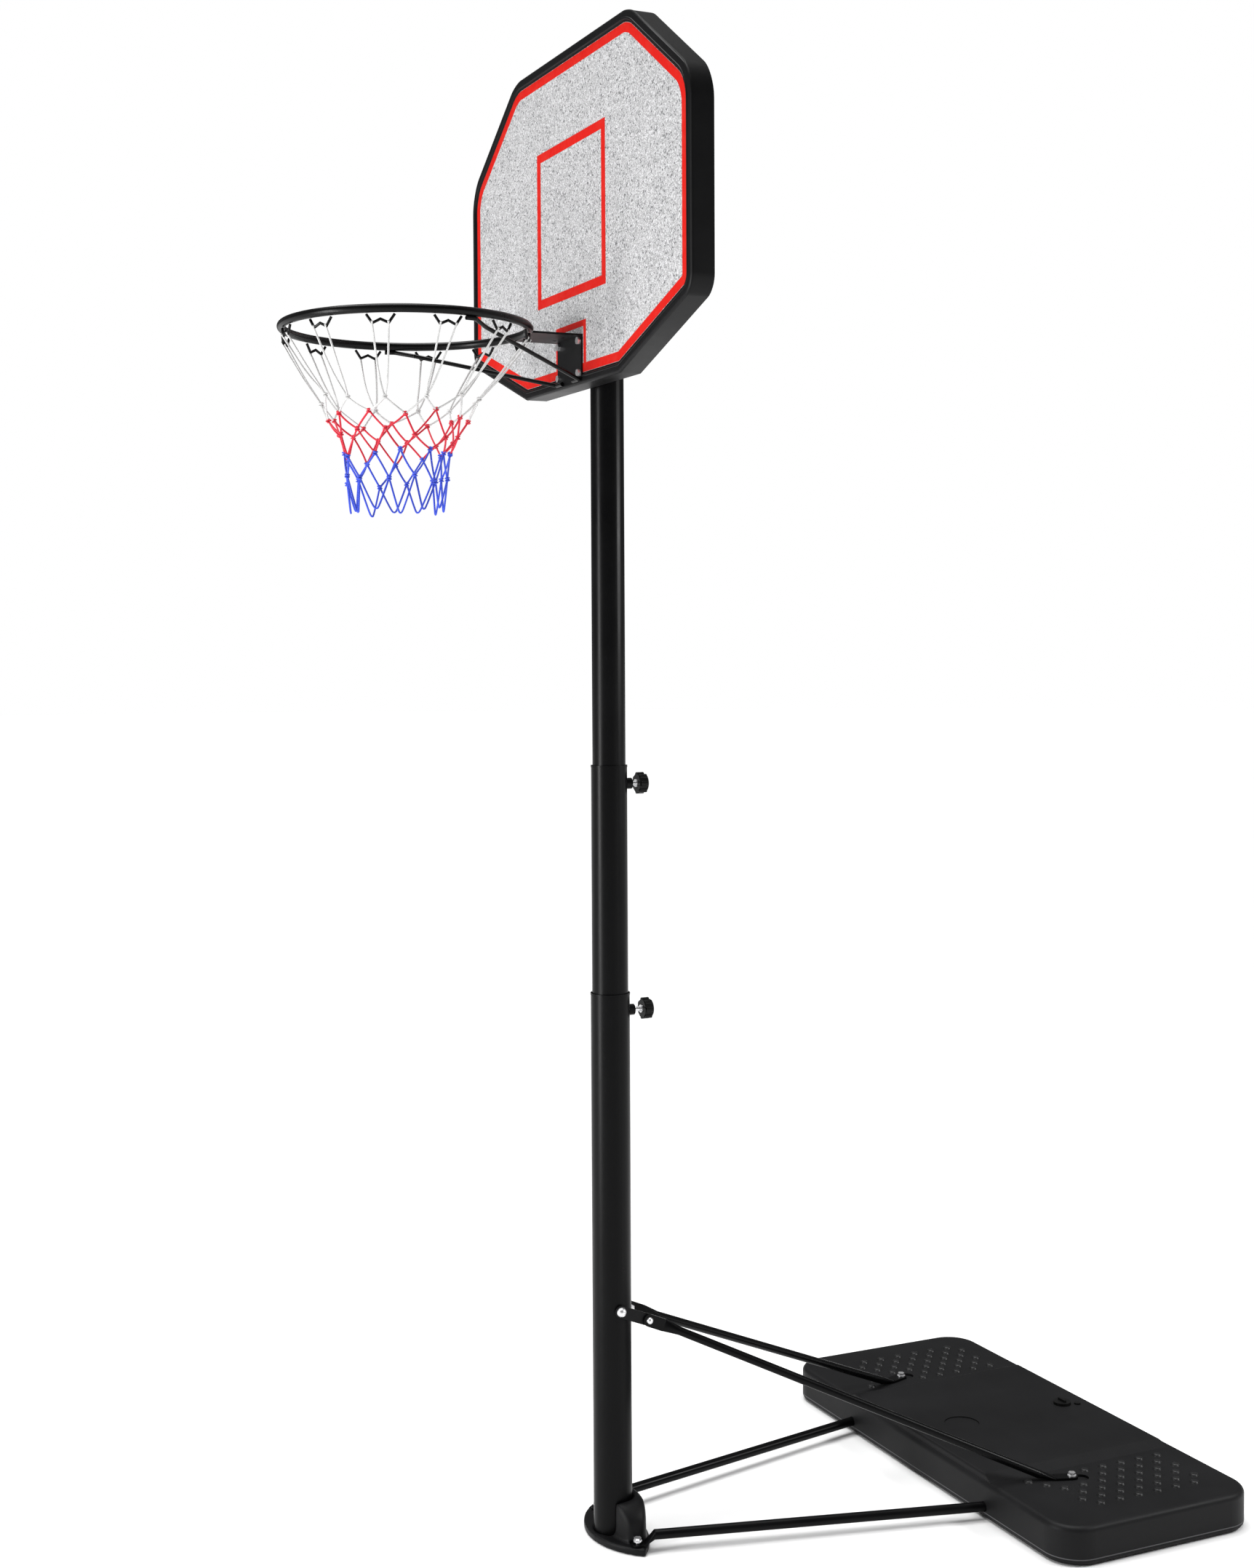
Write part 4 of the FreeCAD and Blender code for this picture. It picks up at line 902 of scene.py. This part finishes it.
    def build(self) -> None:
        """Build the frame and the printed lines."""
        self.frame()
        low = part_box("board_frame")[0]
        self.piece("border_print", self.border_line(), RED_INK, Body.TOP)
        square = self.box_line(self.square_half, self.square_low, self.square_high, self.line_width, 0.0)
        self.piece("shooter_square_print", square, RED_INK, Body.TOP)
        floor = low.z + self.border_gap + self.border_width
        plate = self.box_line(self.plate_box_half, low.z, self.plate_box_top, self.plate_line, floor)
        self.piece("rim_outline_print", plate, RED_INK, Body.TOP)


# ---- net ----


@dataclass
class NetRow:
    """One ring of knots: its drop below the ring, radius, half-step turn and the cord that leaves it."""

    drop: float
    radius: float
    turned: bool
    below: CordColour


@dataclass
class HoopNet(Assembly):
    """Twelve-loop net of knotted cord in three dyed bands."""

    loops: int = 12
    cord_radius: float = 0.0019
    knot_radius: float = 0.0040
    trough: float = 0.015
    sway: float = -0.020
    unevenness: float = 0.006
    seed: int = 7
    rows: tuple[NetRow, ...] = (
        NetRow(0.027, 0.233, False, CordColour.WHITE),
        NetRow(0.139, 0.150, False, CordColour.WHITE),
        NetRow(0.170, 0.130, True, CordColour.RED),
        NetRow(0.206, 0.114, False, CordColour.RED),
        NetRow(0.243, 0.101, True, CordColour.BLUE),
        NetRow(0.287, 0.095, False, CordColour.BLUE),
    )
    loop_drop: float = 0.345
    loop_radius: float = 0.087
    loop_unevenness: float = 0.008
    loop_flare: float = 0.010
    loop_tip: float = 0.004
    drop_unevenness: float = 1.4
    full_sway: float = 0.6
    over_hook: tuple[float, float] = (0.0035, 0.004)
    strand_bow: float = 0.004
    strand_stray: float = 0.003
    strand_gap: float = 0.003
    slack_bow: float = 0.0035
    slack_sag: float = 0.003
    knot_squeeze: Point = (1.0, 0.85, 1.35)
    knot_tilt: float = 0.5
    wrap_height: float = 0.0022
    wrap_reach: float = 0.95
    wrap_cord: float = 0.85

    def spots(self) -> list[list[Vector]]:
        """Where the knots of each row are, slightly uneven.

        Returns:
            For each row, one point for each loop.
        """
        low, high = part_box("rim_ring")
        centre = (low + high) / 2
        chance = random.Random(self.seed)
        deepest = self.rows[-1].drop
        table = []
        for index, row in enumerate(self.rows):
            ring = []
            for step in range(self.loops):
                angle = 2 * math.pi * (step + 0.5 * row.turned) / self.loops
                loose = 0.0 if index == 0 else self.unevenness
                radius = row.radius + chance.uniform(-loose, loose)
                angle += chance.uniform(-loose, loose) / row.radius
                drop = row.drop + chance.uniform(-loose, loose) * self.drop_unevenness
                swing = self.sway * min(1.0, (row.drop - self.rows[0].drop) / (self.full_sway * deepest))
                away = Vector((radius * math.sin(angle), radius * math.cos(angle) + swing, -drop))
                ring.append(centre + away)
            table.append(ring)
        return table

    def cord(self, points: list[Vector], handle: bpy.types.Collection) -> bpy.types.Object:
        """A round cord along a smooth line.

        Args:
            points: Control points; the line starts and ends on the outer ones.
            handle: The collection that holds the line while it is made.

        Returns:
            A curve object.
        """
        data = bpy.data.curves.new("cord", "CURVE")
        data.dimensions = "3D"
        data.bevel_depth = self.cord_radius
        data.bevel_resolution = 1
        data.resolution_u = 4
        data.use_fill_caps = True
        spline = data.splines.new("NURBS")
        spline.points.add(len(points) - 1)
        for point, place in zip(spline.points, points):
            point.co = (*place, 1.0)
        spline.order_u = 3
        spline.use_endpoint_u = True
        obj = bpy.data.objects.new("cord", data)
        handle.objects.link(obj)
        return obj

    def lines(self, table: list[list[Vector]]) -> dict[CordColour, list[list[Vector]]]:
        """The control points of every length of cord, by colour.

        Args:
            table: The knots of each row.

        Returns:
            For each colour, its cords.
        """
        found: dict[CordColour, list[list[Vector]]] = {dye: [] for dye in CordColour}
        chance = random.Random(self.seed + 1)
        for index, row in enumerate(self.rows[:-1]):
            for step, start in enumerate(table[index]):
                if index == 0:
                    found[row.below] += self._hanging_pair(start, table[1][step], chance)
                    continue
                shift = 0 if row.turned else -1
                for side in (shift, shift + 1):
                    end = table[index + 1][(step + side) % self.loops]
                    found[row.below].append(self._slack(start, end, chance))
        found[CordColour.BLUE] += self._bottom_loops(table[-1], chance)
        return found

    def _hanging_pair(self, hook: Vector, knot: Vector, chance: random.Random) -> list[list[Vector]]:
        """The two strands from one hook's troughs to the knot below it.

        Args:
            hook: The hook's middle.
            knot: The knot.
            chance: The source of unevenness.

        Returns:
            Two cords.
        """
        centre = sum(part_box("rim_ring"), Vector()) / 2
        out = Vector((hook.x - centre.x, hook.y - centre.y, 0)).normalized()
        along = Vector((0, 0, 1)).cross(out)
        pair = []
        for sign in (-1, 1):
            catch = hook + along * (self.trough * sign)
            over = catch + out * self.over_hook[0] + Vector((0, 0, self.over_hook[1]))
            spread = self.strand_bow * sign + chance.uniform(-self.strand_stray, self.strand_stray)
            middle = catch.lerp(knot, 0.55) + along * spread + out * self.strand_bow
            near = catch.lerp(knot, 0.9) + along * (self.strand_gap * sign)
            pair.append([over, catch, middle, near, knot])
        return pair

    def _slack(self, start: Vector, end: Vector, chance: random.Random) -> list[Vector]:
        """A short length between two knots, slightly bowed.

        Args:
            start: The upper knot.
            end: The lower knot.
            chance: The source of unevenness.

        Returns:
            The cord's control points.
        """
        bow = Vector(tuple(chance.uniform(-1, 1) for _ in range(3))) * self.slack_bow
        return [start, start.lerp(end, 0.5) + bow + Vector((0, 0, -self.slack_sag)), end]

    def _bottom_loops(self, knots: list[Vector], chance: random.Random) -> list[list[Vector]]:
        """The open loops that hang from the last row of knots.

        Args:
            knots: The last row.
            chance: The source of unevenness.

        Returns:
            One cord for each loop.
        """
        low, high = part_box("rim_ring")
        centre = (low + high) / 2 + Vector((0, self.sway, 0))
        found = []
        for step, start in enumerate(knots):
            end = knots[(step + 1) % self.loops]
            angle = 2 * math.pi * (step + 0.5) / self.loops
            drop = self.loop_drop + chance.uniform(-self.loop_unevenness, self.loop_unevenness)
            out = Vector((math.sin(angle), math.cos(angle), 0)) * self.loop_radius
            bottom = centre + out - Vector((0, 0, drop))
            flare = Vector((0, 0, -self.loop_flare))
            left, right = (knot.lerp(bottom, 0.75) + flare for knot in (start, end))
            found.append([start, left, bottom + Vector((0, 0, -self.loop_tip)), right, end])
        return found

    def knot(self, shape: Shape, spot: Vector, chance: random.Random) -> None:
        """Add one wrapped knot: a squeezed ball with two turns round it.

        Args:
            shape: The mesh that takes it.
            spot: The knot's middle.
            chance: The source of unevenness.
        """
        about = Matrix.Rotation(chance.uniform(0, math.tau), 4, "Z")
        tilt = Matrix.Rotation(chance.uniform(-self.knot_tilt, self.knot_tilt), 4, "X")
        place = Matrix.Translation(spot) @ (about @ tilt)
        squeeze = Matrix.Diagonal((*self.knot_squeeze, 1.0))
        bmesh.ops.create_icosphere(shape, subdivisions=1, radius=self.knot_radius, matrix=place @ squeeze)
        upright = Matrix.Rotation(math.pi / 2, 4, "X")
        for height in (-self.wrap_height, self.wrap_height):
            side = Matrix.Translation((self.knot_radius * self.wrap_reach, 0, height))
            ring = bmesh.ops.create_circle(
                shape, segments=5, radius=self.cord_radius * self.wrap_cord, matrix=side @ upright
            )["verts"]
            edges = list({edge for vert in ring for edge in vert.link_edges})
            bmesh.ops.spin(
                shape, geom=[*ring, *edges], cent=(0, 0, 0), axis=(0, 0, 1), dvec=(0, 0, 0), angle=math.tau,
                steps=9, use_merge=True,
            )
            # The wrap is made at the origin, well away from everything already in place.
            loose = [v for v in shape.verts if v.co.length < self.knot_radius * 3]
            bmesh.ops.transform(shape, matrix=place, verts=loose)

    def build(self) -> None:
        """Make one piece for each colour of cord, with its knots."""
        holder = bpy.data.collections.new("net_lines")
        bpy.context.scene.collection.children.link(holder)
        chance = random.Random(self.seed + 2)
        table = self.spots()
        knot_rows = {CordColour.WHITE: (1,), CordColour.RED: (2, 3), CordColour.BLUE: (4, 5)}
        for dye, cords in self.lines(table).items():
            shape = bmesh.new()
            for index in knot_rows[dye]:
                for spot in table[index]:
                    self.knot(shape, spot, chance)
            for points in cords:
                line = self.cord(points, holder)
                bpy.context.view_layer.update()
                mesh = bpy.data.meshes.new_from_object(line)
                shape.from_mesh(mesh)
                curve = line.data
                bpy.data.objects.remove(line)
                bpy.data.curves.remove(curve)
                bpy.data.meshes.remove(mesh)
            bmesh.ops.recalc_face_normals(shape, faces=shape.faces)
            stands_for = ("net",) if dye is CordColour.WHITE else ()
            self.piece(f"net_{dye.name.lower()}_cords", shape, CORDS[dye], Body.TOP, stands_for, sharp=60.0)
        bpy.data.collections.remove(holder)


# ---- tank ----


@dataclass
class TankTreads(Assembly):
    """Low anti-slip studs on the two ends of the tank's top."""

    first_row: float = 0.273
    row_pitch: float = 0.029
    row_count: int = 7
    first_stud: float = 0.505
    stud_pitch: float = 0.047
    last_stud: float = 0.852
    deck_foot: float = 0.274
    stud_radius: float = 0.0100
    stud_crown: float = 0.0072
    stud_height: float = 0.0042
    stud_root: float = 0.0006
    bolt_x: float = 0.322
    bolt_clear: float = 0.026
    bolt_span: tuple[float, float] = (-0.050, 0.040)
    corner_slope: float = 1.9
    corner_gap: float = 0.012
    crown_round: float = 0.0014

    def spots(self) -> list[tuple[float, float]]:
        """Where the studs of the +X end are, staggered from row to row.

        Returns:
            (x, y) of each stud.
        """
        bolt_y = sum(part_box("deck_inserts"), Vector()).y / 2
        found = []
        for row in range(self.row_count):
            x = self.first_row + self.row_pitch * row
            y = self.first_stud + self.stud_pitch * 0.5 * (row % 2) - self.stud_pitch
            while y < self.last_stud - self.stud_pitch * 0.5:
                y += self.stud_pitch
                near_deck = x < self.deck_foot + self.stud_radius * 0.6
                past_corner = x > self.first_row + (y - self.first_stud) * self.corner_slope + self.corner_gap
                beside_bolt = self.bolt_span[0] < y - bolt_y < self.bolt_span[1]
                near_bolt = abs(x - self.bolt_x) < self.bolt_clear and beside_bolt
                if y >= self.first_stud - 0.001 and not (near_deck or past_corner or near_bolt):
                    found.append((x, y))
        return found

    def build(self) -> None:
        """Make the studs of both ends as one piece."""
        top = self._plain_top()
        depth = self.stud_height + self.stud_root
        shape = bmesh.new()
        for x, y in self.spots():
            for sign in (-1, 1):
                middle = Matrix.Translation((sign * x, y, top - self.stud_root + depth / 2))
                bmesh.ops.create_cone(
                    shape, cap_ends=True, segments=16, radius1=self.stud_radius, radius2=self.stud_crown,
                    depth=depth, matrix=middle,
                )
        crown = top + self.stud_height
        rims = [edge for edge in shape.edges if all(abs(vert.co.z - crown) < 1e-5 for vert in edge.verts)]
        bmesh.ops.bevel(
            shape, geom=rims, offset=self.crown_round, affect="EDGES", segments=2, profile=0.5, material=-1
        )
        face_out(shape)
        self.piece("tank_treads", shape, TREAD_PLASTIC, Body.BASE)

    def _plain_top(self) -> float:
        """The height of the tank's top outside its raised deck, which the inserts end at."""
        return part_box("deck_inserts")[1].z


# ---- foot ----


@dataclass
class FootBoot(Assembly):
    """The moulded foot with its edges softened as they leave the mould."""

    voxel: float = 0.0022
    passes: int = 6
    fender_passes: int = 110
    flange: float = 0.016

    def build(self) -> None:
        """Make the boot from a merged copy of the CAD foot, remeshed evenly and smoothed."""
        shape = bmesh.new()
        shape.from_mesh(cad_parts["pole_foot"].data)
        face_out(shape)
        rough = add_object("foot_rough", mesh_of("foot_rough", shape))
        remesh = rough.modifiers.new("even", "REMESH")
        remesh.mode = "VOXEL"
        remesh.voxel_size = self.voxel
        bpy.context.view_layer.update()
        even = bpy.data.meshes.new_from_object(rough.evaluated_get(bpy.context.evaluated_depsgraph_get()))
        soft = bmesh.new()
        soft.from_mesh(even)
        bpy.data.objects.remove(rough)
        fenders = [vert for vert in soft.verts if vert.co.z > self.flange]
        for verts, passes in ((fenders, self.fender_passes), (list(soft.verts), self.passes)):
            for _ in range(passes):
                bmesh.ops.smooth_vert(
                    soft, verts=verts, factor=0.5, use_axis_x=True, use_axis_y=True, use_axis_z=True
                )
        self.piece("foot_boot", soft, FOOT_PLASTIC, Body.BASE, ("pole_foot",), sharp=60.0)


# ---- studio ----


@dataclass(frozen=True)
class Lamp:
    """A rectangular lamp: its name, place, target, width and height, and power in watts."""

    name: str
    at: Point
    target: Point
    size: tuple[float, float]
    power: float


@dataclass
class Studio:
    """Pale floor, even sky and soft lamps."""

    floor_radius: float = 60.0
    floor_drop: float = 0.0006
    floor_white: Colour = (0.86, 0.86, 0.86)
    sky_seen: float = 1.0
    sky_light: float = 0.12
    sun_strength: float = 3.4
    sun_spread: float = 48.0
    sun_turn: tuple[float, float] = (6.0, -10.0)
    lamps: tuple[Lamp, ...] = (
        Lamp("strip_light", (0.0, -4.4, 1.35), (0.0, -0.3, 1.3), (0.6, 3.2), 175.0),
        Lamp("edge_light", (4.6, 1.8, 1.0), (0.5, 0.8, 0.1), (1.6, 1.2), 8.0),
        Lamp("tank_light", (1.7, 2.5, 2.2), (0.5, 0.7, 0.08), (1.0, 0.7), 55.0),
    )

    def build(self) -> None:
        """Make the floor, the sky and the lamps."""
        self.floor()
        self.sky()
        self.sun()
        for lamp in self.lamps:
            self.panel_light(lamp)

    def floor(self) -> None:
        """A wide pale disc just under the object."""
        shape = bmesh.new()
        below = Matrix.Translation((0, 0, -self.floor_drop))
        bmesh.ops.create_circle(shape, cap_ends=True, segments=96, radius=self.floor_radius, matrix=below)
        obj = add_object("floor", mesh_of("floor", shape))
        graph = Graph("floor_white", self.floor_white, 0.9, specular=0.0)
        obj.data.materials.append(graph.material)

    def sky(self) -> None:
        """An even sky, brighter where it is seen than where it lights."""
        world = bpy.data.worlds.new("sky")
        bpy.context.scene.world = world
        world.use_nodes = True
        tree = world.node_tree
        back = tree.nodes["Background"]
        back.inputs["Color"].default_value = (1.0, 1.0, 1.0, 1.0)
        path = tree.nodes.new("ShaderNodeLightPath")
        spread = tree.nodes.new("ShaderNodeMapRange")
        spread.inputs["To Min"].default_value = self.sky_light
        spread.inputs["To Max"].default_value = self.sky_seen
        tree.links.new(path.outputs["Is Camera Ray"], spread.inputs["Value"])
        tree.links.new(spread.outputs["Result"], back.inputs["Strength"])

    def sun(self) -> None:
        """A broad overhead light that keeps the floor white to the horizon."""
        data = bpy.data.lights.new("overhead", "SUN")
        data.energy = self.sun_strength
        data.angle = math.radians(self.sun_spread)
        obj = add_object("overhead", data)
        obj.rotation_euler = (*(math.radians(value) for value in self.sun_turn), 0)

    def panel_light(self, lamp: Lamp) -> None:
        """Make one rectangular lamp that looks at its target.

        Args:
            lamp: The lamp to make.
        """
        data = bpy.data.lights.new(lamp.name, "AREA")
        data.shape = "RECTANGLE"
        data.size, data.size_y = lamp.size
        data.energy = lamp.power
        obj = add_object(lamp.name, data)
        obj.location = lamp.at
        obj.rotation_euler = (Vector(lamp.target) - Vector(lamp.at)).to_track_quat("-Z", "Y").to_euler()
        obj.visible_camera = False


@dataclass
class Viewpoint:
    """The camera: its bearing round the pole, tilt, distance, lens and small framing shift."""

    azimuth: float = 65.484
    tilt: float = -2.258
    roll: float = -0.313
    distance: float = 4.063
    height: float = 1.776
    lens: float = 46.94
    sensor: float = 36.0
    shift: tuple[float, float] = (0.01158, -0.03164)

    def build(self) -> None:
        """Make the camera and make it the scene's own."""
        pole_y = sum(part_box("lower_tube"), Vector()).y / 2
        bearing, tilt, roll = (math.radians(value) for value in (self.azimuth, self.tilt, self.roll))
        forward = Vector((
            -math.sin(bearing) * math.cos(tilt), math.cos(bearing) * math.cos(tilt), math.sin(tilt)
        ))
        level = Vector((math.cos(bearing), math.sin(bearing), 0))
        up = level.cross(forward)
        right = level * math.cos(roll) + up * math.sin(roll)
        top = up * math.cos(roll) - level * math.sin(roll)
        data = bpy.data.cameras.new("camera")
        data.lens = self.lens
        data.sensor_width = self.sensor
        data.sensor_fit = "AUTO"
        data.shift_x, data.shift_y = self.shift
        obj = add_object("camera", data)
        turn = Matrix((right, top, -forward)).transposed().to_4x4()
        eye = Vector((
            math.sin(bearing) * self.distance, pole_y - math.cos(bearing) * self.distance, self.height
        ))
        obj.matrix_world = Matrix.Translation(eye) @ turn
        bpy.context.scene.camera = obj


def main() -> None:
    """Build the camera, the studio and every piece, in order."""
    logging.basicConfig(level=logging.INFO, format="%(name)s: %(message)s")
    Viewpoint().build()
    LOG.info("camera placed")
    Studio().build()
    LOG.info("studio lit")
    bpy.context.scene.view_settings.view_transform = "Standard"
    wardrobe = Wardrobe()
    LOG.info("%d nodes dressed", wardrobe.dress_nodes())
    for assembly in (Backboard, HoopNet, TankTreads, FootBoot):
        assembly(wardrobe).build()
        LOG.info("%s built", assembly.__name__)


if __name__ == "__main__":
    main()
